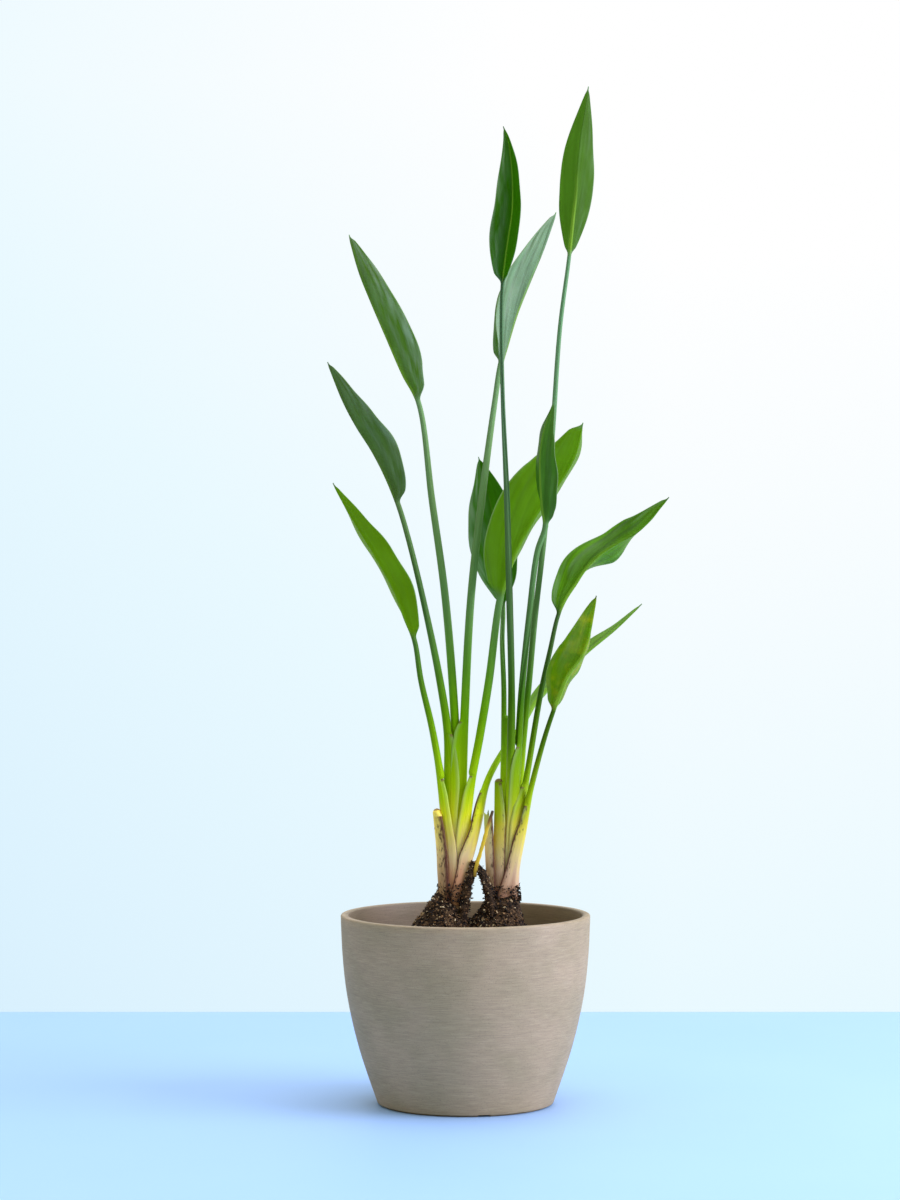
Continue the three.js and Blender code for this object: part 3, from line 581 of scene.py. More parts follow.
def clasping_ring(centre, across, away, radii, toward, margin):
    """Ring round a sheath that clasps its shoot. It runs from its back to thin margins that lie
    round the inner leaves: margin is the front one, toward is the side along X that the sheath
    opens to. Also gives each column's distance from the margin."""
    spine = centre - toward * radii[0] * across
    reach = margin[1] - centre[1]
    reach = min(abs(reach), CLASP_BACK * radii[1])
    behind = np.array([margin[0], centre[1] + reach, margin[2]])
    halves = []
    for end, side in ((margin, -1), (behind, 1)):
        pull = spine + side * CLASP_PULL * max(abs(end[1] - centre[1]), radii[1]) * away
        push = end - np.array([toward * CLASP_PUSH * abs(end[0] - spine[0]), 0, 0])
        t = EVEN[len(EVEN) // 2 :, None]
        halves.append(
            spine * (1 - t) ** 3
            + 3 * pull * t * (1 - t) ** 2
            + 3 * push * t**2 * (1 - t)
            + end * t**3
        )
    first, last = halves if toward < 0 else halves[::-1]
    outer = np.vstack([first[:0:-1], last])
    along = np.gradient(outer[:, :2], axis=0)
    normal = np.stack([along[:, 1], -along[:, 0], 0 * along[:, 0]], 1)
    normal /= np.linalg.norm(normal, axis=1)[:, None] + 1e-9
    wall = MEMBRANE + (SHEATH_WALL - MEMBRANE) * (1 - smoothstep(np.abs(EVEN), 0.4, 1))
    inner = outer - normal * wall[:, None]
    run = lengths_along(outer)
    return np.vstack([outer, inner[::-1]]), np.minimum(run, run[-1] - run)


def blade_section(leaf, u, width, rib, wave):
    """Ring round a folded blade: its outer face from margin to margin over the midrib, then its
    inner face back. U runs from 0 at the blade's foot to 1 at its tip."""
    first, last = fold_sides(between(leaf["left"], u), between(leaf["right"], u))
    cup = leaf["cup"]
    points, normals = [], []
    for share in ACROSS:
        edge, sign = (first, 1) if share < 0 else (last, -1)
        start = math.radians(edge + sign * cup / 2)
        bend = math.radians(-sign * cup)
        turn = start + bend * abs(share)
        reach = np.array(
            [math.sin(turn) - math.sin(start), math.cos(start) - math.cos(turn)]
        ) * (width / bend)
        points.append(reach)
        outward = turn + sign * math.pi / 2
        normals.append((math.cos(outward), math.sin(outward)))
    points, normals = np.array(points), np.array(normals)
    middle = len(ACROSS) // 2
    back = math.radians((first + last) / 2)
    normals[middle] = (math.cos(back), math.sin(back))
    near = np.exp(-((ACROSS * width / max(1.5 * rib, 0.1)) ** 2))
    thick = MARGIN_HALF_THICK + (RIB_HALF_THICK - MARGIN_HALF_THICK) * (1 - np.abs(ACROSS)) ** 0.5
    opening = math.sin((360 - (last - first) + cup) / 2 * math.pi / 180)
    mitre = np.where(ACROSS == 0, 1 / max(opening, 0.35), 1.0)
    points = points + normals * (wave * ACROSS**2)[:, None]
    outer = points + normals * (thick * mitre + rib * near)[:, None]
    inner = points - normals * (thick * mitre - 0.3 * rib * near)[:, None]
    return np.vstack([outer, inner[::-1]])


def leaf_points(leaf, seed):
    """Rings of points along a leaf or a cut leaf base, and the marks that its material reads."""
    draw = np.random.default_rng(seed)
    line = smooth_line(leaf["path"], LINE_STEPS)
    run = lengths_along(line)
    foot = run[leaf.get("foot", len(leaf["path"]) - 1) * LINE_STEPS]
    cut = "foot" not in leaf
    lap = np.array(leaf["lap"], float) if "lap" in leaf else None
    sheath_way, sheath_gap, sheath_top = leaf["sheath"]
    if lap is not None:
        sheath_top = lap[-1, 2]
    top_run = np.interp(sheath_top, line[:, 2], run)
    stops = np.linspace(0, foot, int(foot / STALK_STEP))
    extra = [top_run, top_run + EAR_FALL / 2, top_run + EAR_FALL]
    if cut:
        extra += [foot - CROWN_LENGTH * share for share in (0.85, 0.6, 0.35, 0.15, 0.05)]
    stops = np.unique(np.concatenate([stops, [s for s in extra if s < foot]]))
    blade_way = sheath_way
    if not cut:
        t = np.linspace(0, 1, BLADE_STOPS)[1:]
        u_stops = 0.5 * t + 0.25 * (1 - np.cos(math.pi * t))
        stops = np.concatenate([stops, foot + (run[-1] - foot) * u_stops])
        blade_way = sum(fold_sides(leaf["left"][0], leaf["right"][0])) / 2 - 180
        sheath_way += 360 * round((blade_way - sheath_way) / 360)
    toward = 1 if math.cos(math.radians(sheath_way)) > 0 else -1
    # Waves of the margins: how many along the blade, where they start and their height in mm.
    waves = [(draw.uniform(2, 4), draw.uniform(0, 6.28), draw.uniform(0.3, 0.7)) for _ in range(4)]
    ragged = draw.uniform(-1, 0.15, len(EVEN)) * leaf.get("ragged", 0)
    girth = np.array(leaf["girth"], float)
    rings, marks = [], []
    for stop in stops:
        centre, across, away = place_on(line, run, stop, TANGENT_REACH)
        height = centre[2]
        u = (stop - foot) / (run[-1] - foot) if stop > foot else 0.0
        radii = np.array([np.interp(height, girth[:, 0], girth[:, k]) for k in (1, 2)])
        opened = worn = 0.0
        hem = np.full(len(EVEN), float(FAR_FROM_HEM))
        rib = np.full(len(EVEN), float(FAR_FROM_RIB))
        if u > 0:
            radius = girth[-1, 1] + (TIP_RADIUS - girth[-1, 1]) * u
            belly, fullness = leaf.get("belly", 0.75), leaf.get("fullness", 0.85)
            width = leaf["width"] * math.sin(math.pi * min(u**belly, 1)) ** fullness
            width = max(width, radius)
            rib = np.abs(ACROSS) * width
            swell = [high * math.sin(2 * math.pi * n * u + start) for n, start, high in waves]
            wave = np.where(ACROSS < 0, swell[0] + swell[1], swell[2] + swell[3])
            wave = wave * leaf.get("wave", 1.0) * min(width / FULL_WAVE, 1)
            opened = smoothstep(u, 0, BLADE_OPENS) * (1 - smoothstep(u, BLADE_CLOSES, 1))
            blade = blade_section(leaf, u, width, radius * RIB_SHARE, wave)
            section = stalk_section([radius, radius], blade_way, STALK_GAP, 0)
            section = section + (blade - section) * opened
            ring = centre + section[:, :1] * across + section[:, 1:] * away
        else:
            closes = sheath_top - SHEATH_CLOSES[0], sheath_top + SHEATH_CLOSES[1]
            hollow = 1 - smoothstep(height, *closes)
            turned_up = smoothstep(stop, top_run, max(foot, top_run + 1))
            way = sheath_way + (blade_way - sheath_way) * turned_up
            narrowed = smoothstep(height, SHEATH_FOOT, sheath_top + 10)
            gap = sheath_gap + (STALK_GAP - sheath_gap) * narrowed
            if cut and not leaf.get("ragged"):
                left_over = (foot - stop) / CROWN_LENGTH
                radii *= math.sqrt(1 - 0.96 * max(1 - left_over, 0) ** 2)
                hollow *= smoothstep(left_over, 1, 4)
                worn = 1 - smoothstep(foot - stop, 1, leaf["browned"])
            section = stalk_section(radii, way, gap, hollow)
            ring = centre + section[:, :1] * across + section[:, 1:] * away
            clasped = 1 - smoothstep(height, sheath_top, sheath_top + EAR_FALL)
            if lap is not None and clasped > 0:
                margin = np.array([np.interp(height, lap[:, 2], lap[:, k]) for k in range(3)])
                margin[2] = height
                clasp, hem = clasping_ring(centre, across, away, radii, toward, margin)
                ring = ring + (clasp - ring) * clasped
                hem = hem + FAR_FROM_HEM * (1 - clasped)
            if leaf.get("ragged"):
                torn = smoothstep(height, line[-1, 2] - TORN_LENGTH, line[-1, 2])
                ring[:, 2] += np.concatenate([ragged, ragged[::-1]]) * torn
        rings.append(ring)
        ear = smoothstep(height, sheath_top - EAR_LENGTH, sheath_top) * (hem < EAR_WIDTH)
        ear = np.maximum(ear, worn)
        reach = np.abs(ACROSS)
        vein = (reach - VEIN_DRIFT * u) * leaf.get("width", STALK_VEINS)
        outer = np.zeros((len(LEAF_MARKS), len(EVEN)))
        values = (0, opened, stop - foot, vein, rib, hem, ear, reach * opened, EVEN < 0)
        for row, numbers in zip(outer, values):
            row[:] = numbers
        inner = outer[:, ::-1].copy()
        inner[0] = 1
        marks += [outer, inner]
    return np.array(rings), dict(zip(LEAF_MARKS, np.hstack(marks)))


def lofted(rings):
    """Points and faces of a closed skin through rings of equal count."""
    count, turns = rings.shape[0], rings.shape[1]
    faces = [tuple(range(turns - 1, -1, -1))]
    for i in range(count - 1):
        low, high = i * turns, (i + 1) * turns
        faces += [
            (low + j, low + (j + 1) % turns, high + (j + 1) % turns, high + j)
            for j in range(turns)
        ]
    faces.append(tuple(range((count - 1) * turns, count * turns)))
    return rings.reshape(-1, 3), faces


def grown_piece(name, leaf, finish, seed):
    """The finer piece of a leaf or leaf base, which takes the place of the node of its name."""
    rings, marks = leaf_points(leaf, seed)
    piece = mesh_piece(f"{name}_grown", *lofted(rings), finish, marks)
    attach(piece, "root")
    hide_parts(name)


# Colours of the left shoot's sheaths and stalks by height.
GREENING = [
    (160, "#cc9264"), (182, "#f8b482"), (198, "#ffdc98"), (214, "#ffe668"), (232, "#f0ea20"),
    (252, "#bcd806"), (284, "#92bb04"), (312, "#75a703"), (345, "#5c8c1e"), (400, "#5f8240"),
    (480, "#6b884a"), (575, "#6c8a54"),
]
STRANDS_WANDER = 35  # mm that the colours of a sheath wander up and down its strands
# The brightness of sheath and stalk by height is painted light and shade.
PAINTED_LIGHT_FADE = 40  # mm over which the sheath's brightness turns into the stalk's
PALE_FADE = 6
STAINS_FADE = (262, 235)  # heights between which the stains of the soil fade out


def leaf_finish(
    name, back, face, glow, pale_from=0, ramp=GREENING, gloss=0.4, spots=0.0, stain=0.5,
    painted_light=(1.0, 300, 1.0), wax_and_sheen=(0.06, 0.06), halves=(1.0, 1.0), pleat=0.24, rib=(0.7, 105),
):
    """Living leaf: waxy skin in two greens, light through the blade, pale midrib, and a sheath
    that pales to cream and pink where the soil kept light away. Ramp gives the sheath's colours by
    height. Its hem is pale above pale_from and a smudged purple-brown line below it, and stain is
    that line's width, all in mm. Lift is painted light and shade: the brightness of the sheath, a
    height in mm, and the brightness of the stalk above it, since the light reaches some only
    between others. Bloom is a wax film on each of the blade's two halves that is also a painted
    sheen, and halves is painted light and shade, the brightness of these two halves. Pleat is the
    contrast of its long streaks, and rib the strength of the pale midrib and the mm from the
    blade's foot at which it has faded."""
    material, add = start_material(name)
    value = {
        mark: add("Attribute", attribute_name=mark).outputs["Fac"]
        for mark in LEAF_MARKS
    }
    place = add("TexCoord").outputs["Object"]
    place = add("Mapping", {"Vector": place, "Scale": [1 / MM] * 3})
    value["height"] = add("SeparateXYZ", {"Vector": place}).outputs["Z"]
    lines = add("CombineXYZ", {"X": value["vein"], "Y": value["run"], "Z": value["half"]})

    # Patterns: what each follows, the mm size of its cells and its detail. Lines runs across the
    # veins, along them and to the other half, so veins lie 1 to 2 mm apart in pleats of about 5 mm.
    for kind, where, cells, detail in (
        ("veins", lines, (1.111, 83.3, 1), 2),
        ("pleats", lines, (4.167, 142.9, 1), 1),
        ("wax", lines, (6.667, 35.71, 1), 2),
        ("strands", lines, (6.667, 50, 1), 3),
        ("mottle", place, (22.22, 22.22, 22.22), 3),
        ("spots", place, (9.091, 9.091, 9.091), 2),
        ("flecks", place, (1.4286, 1.4286, 3.846), 2),
    ):
        cells = [1 / mm for mm in cells]
        cells = add("Mapping", {"Vector": where, "Scale": cells})
        value[kind] = add("TexNoise", {"Vector": cells, "Scale": 1.0, "Detail": detail})
    for kind, first, times, plus in (
        ("ridges", "pleats", 1.6, "veins"), ("wander", "strands", STRANDS_WANDER, "height"),
    ):
        value[kind] = add(
            "Math", {0: value[first], 1: times, 2: value[plus]}, operation="MULTIPLY_ADD"
        )

    # Shares: what each is read from, the span of that, and the span that it is turned into. First
    # those of the blade, with painted light and shade on each half and a wax film that is also a
    # painted sheen, then those of the sheath and stalk with their painted light and shade, whose
    # hem has a pale membrane high up, and low down a purple-brown line with a smudge and flecks of
    # the same beside it.
    soiled = min(1.0, 2 * (stain - 0.5))
    lowest, highest = ramp[0][0], ramp[-1][0]
    for kind, source, *span in (
        ("pleated", "ridges", 0.95, 1.65, 1 - pleat, 1 + pleat),
        ("mottled", "mottle", 0.35, 0.65, 0.9, 1.1),
        # Painted light and shade: each half of the blade lighter or darker.
        ("halved", "half", 0.2, 0.8, halves[1], halves[0]),
        ("spotted", "spots", 0.46, 0.68, 0, spots),
        # The wax film is also a painted sheen: in patches, by half, and stronger out toward the
        # margins.
        ("waxed", "wax", 0.38, 0.66, 0, 1),
        ("wax_half", "half", 0.2, 0.8, wax_and_sheen[1], wax_and_sheen[0]),
        ("outward", "reach", 0.15, 0.7, 0.15, 1),
        ("ribbed", "rib", 1.3, 0.6, 0, rib[0]),
        ("near_foot", "run", rib[1], 0.4 * rib[1], 0, 1),
        ("margin", "reach", 0.955, 0.99, 0, 0.6),
        ("through", "blade", 0, 1, 0.15, 0.42),
        ("risen", "wander", lowest + STRANDS_WANDER / 2, highest + STRANDS_WANDER / 2, 0, 1),
        ("stranded", "strands", 0.3, 0.7, 0.9, 1.1),
        # Painted light and shade on the sheath, fading into that of the stalk above it.
        ("lifted", "height", painted_light[1] - PAINTED_LIGHT_FADE, painted_light[1], painted_light[0], painted_light[2]),
        ("low_down", "height", *STAINS_FADE, 0, 1),
        ("near_hem", "hem", 7 * stain, 0, 0, 0.24),
        ("smudged", "hem", 3 * stain, 0.8 * stain, 0, 0.75 * soiled),
        ("blotched", "flecks", 0.36, 0.6, 0.35, 1),
        ("high_up", "height", pale_from - PALE_FADE, pale_from + PALE_FADE, 0, 1),
        ("beneath", "height", pale_from - PALE_FADE, pale_from + PALE_FADE, 1, 0),
        ("membrane", "hem", 3.6, 0.2, 0, 0.27),
        ("line", "hem", 1.25 * stain, 0.6 * stain, 0, 0.85),
        ("browned", "ear", 0.6, 1, 0, 0.8),
    ):
        value[kind] = add("MapRange", dict(enumerate((value[source], *span))))
    thick = add(
        "Math",
        {0: value["near_hem"], 1: value["low_down"], 2: value["flecks"]},
        operation="MULTIPLY_ADD",
    )
    value["flecked"] = add(
        "MapRange", {"Value": thick, "From Min": 0.77, "From Max": 0.82, "To Max": 0.8 * soiled}
    )
    for kind, *factors in (
        ("blade_light", "pleated", "mottled", "halved"),
        ("waxed", "waxed", "wax_half", "outward"),
        ("ribbed", "ribbed", "near_foot"),
        ("stalk_light", "stranded", "lifted"),
        ("flecked", "flecked", "low_down"),
        ("smudged", "smudged", "blotched", "low_down"),
        ("membrane", "membrane", "high_up"),
        ("line", "line", "beneath"),
    ):
        product = value[factors[0]]
        for factor in factors[1:]:
            product = add("Math", {0: product, 1: value[factor]}, operation="MULTIPLY")
        value[kind] = product

    # Colours: a green for each face of the blade, and pink and cream that turn yellow-green and
    # then deeper green up the sheath and stalk. Films, one of them a wax film that is also a
    # painted sheen, lines and stains lie over both.
    greens = add(
        "Mix", {"Factor": value["inner"], "A": linear(back), "B": linear(face)}, data_type="RGBA"
    )
    stops = [((mm - lowest) / (highest - lowest), code) for mm, code in ramp]
    sheath = add("ValToRGB", {"Fac": value["risen"]}, stops=[stops[0], stops[-1], *stops[1:-1]])
    # The wax film's pale colour is also a painted sheen.
    blade_layers = {
        "spotted": "#c8bc14", "waxed": "#c2cfa6", "ribbed": "#9cbf3c", "margin": "#b5c98a"
    }
    stalk_layers = {
        "flecked": "#4c3226", "smudged": "#66402f", "membrane": "#d6de9a", "line": "#6b3a33",
        "browned": "#87503a",
    }
    skins = []
    for colour, light, layers in (
        (sheath, "stalk_light", stalk_layers), (greens, "blade_light", blade_layers)
    ):
        colour = add("HueSaturation", {"Color": colour, "Value": value[light]})
        for share, code in layers.items():
            colour = add(
                "Mix", {"Factor": value[share], "A": colour, "B": linear(code)}, data_type="RGBA"
            )
        skins.append(colour)
    stalk, blade = skins
    skin, shine = (
        add("Mix", {"Factor": value["blade"], "A": stalk, "B": other}, data_type="RGBA")
        for other in (blade, linear(glow))
    )
    relief = add("Bump", {"Height": value["pleats"], "Strength": 0.7, "Distance": 0.8 * MM})
    waxy = add(
        "BsdfPrincipled",
        {
            "Base Color": skin,
            "Roughness": gloss,
            "IOR": 1.33,
            "Specular Tint": linear("#c3e06a"),
            "Normal": relief,
        },
    )
    through = add("BsdfTranslucent", {"Color": shine})
    leaf = add("MixShader", {0: value["through"], 1: waxy, 2: through})
    add("OutputMaterial", {"Surface": leaf})
    return material


# A leaf's path runs from the rootstock along its stalk and midrib to the tip. Girth is its
# half-width across and away by height, and foot is the knot of the path where the blade begins.
# Each half of the blade is width wide at most and curls by cup degrees. Left and right are the
# degrees that the halves point to from foot to tip, where 0 is across and 90 away from the camera.
# Belly below 1 puts the widest place nearer the foot, fullness below 1 blunts the ends, and wave is
# how far the margins wave. Sheath is the degrees that the channel opens to, its half-angle and the
# height of the sheath's top. Lap is the front margin of a sheath that clasps the inner leaves.
LEFT_LEAVES = {
    "left_leaf_1": {
        "path": [
            (-10, 2.5, 141), (-9.6, 2.5, 168), (-8.4, 2, 195), (-6.8, 1.5, 244), (-8.3, 1, 306),
            (-15.9, 5, 404), (-26.8, 8, 484), (-37.6, 10, 562), (-49.4, 11, 585), (-63, 12, 615.5),
            (-75.3, 14, 643.5), (-84.8, 16, 667), (-93.5, 20, 697),
        ],
        "girth": [
            (150, 3.6, 5.4), (195, 4.2, 5), (244, 4.2, 4.4), (306, 3.6, 3.6), (404, 3.2, 3.2),
            (484, 2.8, 2.8), (562, 2.1, 2.1),
        ],
        "foot": 7, "width": 26, "cup": 14, "left": [42, 42, 35], "right": [-32, -40, -22],
        "sheath": (0, 45, 308),
    },
    "left_leaf_2": {
        "path": [
            (-12, 1, 141), (-11.8, 1, 168), (-11, 0.5, 195), (-13.4, -1, 244), (-14, -3, 296),
            (-20.4, -7, 340), (-33.6, -12, 404), (-45.2, -15, 452), (-53.5, -16, 480),
            (-63.2, -18, 503.5), (-73.8, -20, 523.5), (-85.8, -22, 542), (-96.4, -23, 561.5),
            (-109.4, -24, 593),
        ],
        "girth": [
            (150, 3.6, 5.8), (195, 4.2, 5.4), (244, 4.2, 4.4), (296, 3.5, 3.5), (340, 3.1, 3.1),
            (404, 2.5, 2.5), (481, 2.1, 2.1),
        ],
        "foot": 8, "width": 24, "cup": 16, "left": [45, 48, 45], "right": [-38, -38, -38],
        "sheath": (0, 50, 302),
        "lap": [
            (-7, -6.8, 190), (-6.2, -7.6, 235), (-4.8, -7.8, 252), (-4.9, -7.6, 263),
            (-5.9, -7, 274), (-7.3, -6.6, 283), (-9, -6.2, 290), (-10.6, -5.8, 296.4),
        ],
    },
    "left_leaf_3": {
        "path": [
            (-14, -0.8, 141), (-13.8, -0.8, 168), (-13.4, -2, 195), (-17.2, -5, 244),
            (-26.1, -10, 299), (-35.5, -16, 340), (-40.6, -20, 372), (-47.3, -22, 389),
            (-56.8, -25, 413), (-71, -28, 439), (-85.2, -31, 462), (-98.5, -34, 485),
            (-104.8, -36, 497),
        ],
        "girth": [
            (150, 3.8, 6.2), (195, 4.4, 5.6), (244, 4.2, 4.4), (276, 3, 3), (340, 2.3, 2.3),
            (372, 2, 2),
        ],
        "foot": 6, "width": 19, "cup": 12, "left": [95, 102, 98], "right": [-33, -38, -40],
        "sheath": (0, 52, 266),
        "lap": [
            (-5.2, -8.5, 169.7), (-6, -9, 193.8), (-7.9, -9.3, 212.2), (-11, -9.5, 226),
            (-13.2, -9.8, 240), (-14.4, -9.5, 248.3), (-16, -9, 254.6), (-17.8, -8.6, 261),
        ],
    },
    "left_leaf_4": {
        "path": [
            (-8.5, 1.8, 141), (-8, 1.8, 168), (-5.6, 1.2, 195), (-3.4, 0.5, 244), (-1, -2, 309),
            (4.1, -4, 404), (12.8, -4, 484), (23.6, 0, 564), (28, 2, 592), (32.6, 4, 608),
            (40.4, 6, 633), (51, 9, 659), (62, 13, 685), (72.8, 20, 715),
        ],
        "girth": [
            (150, 3.6, 5.6), (195, 4.2, 5.2), (244, 4.2, 4.4), (309, 3.6, 3.6), (404, 3.2, 3.2),
            (484, 3.1, 3.1), (564, 2.3, 2.3),
        ],
        "foot": 8, "width": 24, "cup": 12, "left": [245, 216, 212], "right": [128, 140, 146],
        "sheath": (180, 45, 312),
        "lap": [
            (-9.2, -6.2, 187.9), (-11.6, -6.4, 227.9), (-12, -6.6, 260), (-11.2, -6.6, 284),
            (-9, -6.2, 298), (-6.9, -5.9, 303), (-5, -5.7, 306.4),
        ],
    },
    "left_leaf_5": {
        "path": [
            (-7, 0.2, 141), (-6.2, 0.2, 168), (-2.4, -1, 195), (2, -5, 244), (11.9, -12, 299),
            (18.6, -17, 340), (27.1, -22, 404), (32.9, -22, 424), (38.4, -21, 440),
            (48.8, -19, 460), (59.9, -17, 478), (75.1, -16, 498), (86.9, -18, 519),
            (93.1, -22, 545),
        ],
        "girth": [
            (150, 3.8, 6), (195, 4.4, 5.6), (244, 4.2, 4.6), (265, 3.5, 3.6), (340, 3.2, 3.2),
            (404, 2.8, 2.8),
        ],
        "foot": 6, "width": 33, "cup": 10, "belly": 1, "fullness": 0.62,
        "left": [190, 188, 188], "right": [84, 82, 82],
        "sheath": (180, 50, 270),
        "lap": [
            (-6.8, -7.4, 180), (-8.2, -7.8, 208.1), (-6.4, -8.4, 224.2), (-3.4, -9, 239.4),
            (-2, -9.2, 248.6), (0.6, -9.4, 256.6), (3.2, -9.6, 263.4),
        ],
    },
    "left_leaf_6": {
        "path": [
            (-7.8, -2.4, 141), (-7.8, -2.4, 168), (-5.6, -2.4, 181), (0.6, -1.5, 196),
            (9.5, 4, 226), (17, 15, 256), (29.5, 29, 279), (40, 40, 293), (49, 49, 305),
            (59, 59, 321), (78, 66, 339), (102, 70, 361), (123, 72, 378), (145, 72, 399),
        ],
        "girth": [
            (150, 5.8, 7), (181, 5.8, 7), (205, 4.8, 6), (235, 3.6, 4.4), (256, 2.8, 2.8),
            (305, 2, 2),
        ],
        "foot": 8, "width": 13, "cup": 10, "left": [127, 125, 120], "right": [72, 88, 85],
        "sheath": (180, 55, 256),
        "lap": [
            (-12.4, -10, 169.9), (-10, -10.2, 176.6), (-7, -10.2, 189.9), (-5.6, -10, 199.5),
            (-0.2, -9.6, 212), (3.4, -9, 220.5), (6.3, -7.5, 233.2), (8.4, -1, 241.2),
            (11.3, 7, 248.6),
        ],
    },
}
# Finishes. Lift paints light and shade on sheath and stalk, halves paints light and shade on the
# blade's two halves, and bloom is a wax film that is also a painted sheen.
LEFT_FINISH = {
    "left_leaf_1": {
        "skin": ("#6d8e35", "#558027", "#9bc51c"), "painted_light": (1.2, 330, 1.5),
        "wax_and_sheen": (0, 1.0), "halves": (1, 0.92), "rib": (0.9, 110),
    },
    "left_leaf_2": {
        "skin": ("#667f3a", "#506f2a", "#88ad20"), "painted_light": (0.95, 350, 1.05),
        "wax_and_sheen": (0, 0.45), "pleat": 0.2, "rib": (0.3, 60),
    },
    "left_leaf_3": {
        "skin": ("#779e09", "#639202", "#b2d400"), "painted_light": (1.05, 320, 0.85), "pale_from": 222,
        "wax_and_sheen": (0, 0), "pleat": 0.1, "rib": (0.3, 60),
    },
    "left_leaf_4": {
        "skin": ("#86a073", "#3f6b25", "#8dba34"), "painted_light": (1.15, 330, 1.45),
        "wax_and_sheen": (0.65, 0.65), "pleat": 0.4,
    },
    "left_leaf_5": {
        "skin": ("#648e11", "#73a606", "#bade0d"), "painted_light": (1.05, 350, 1.5),
        "wax_and_sheen": (0.04, 0.04), "pleat": 0.16, "rib": (0.4, 60),
    },
    "left_leaf_6": {
        "skin": ("#86b040", "#8cba40", "#c4e040"), "pale_from": 400, "stain": 1.0,
        "wax_and_sheen": (0.1, 0.1),
    },
}
for number, (name, leaf) in enumerate(LEFT_LEAVES.items()):
    settings = dict(LEFT_FINISH[name])
    finish = leaf_finish(f"WaxyLeafLeft{number + 1}", *settings.pop("skin"), **settings)
    grown_piece(name, leaf, finish, 100 + number)

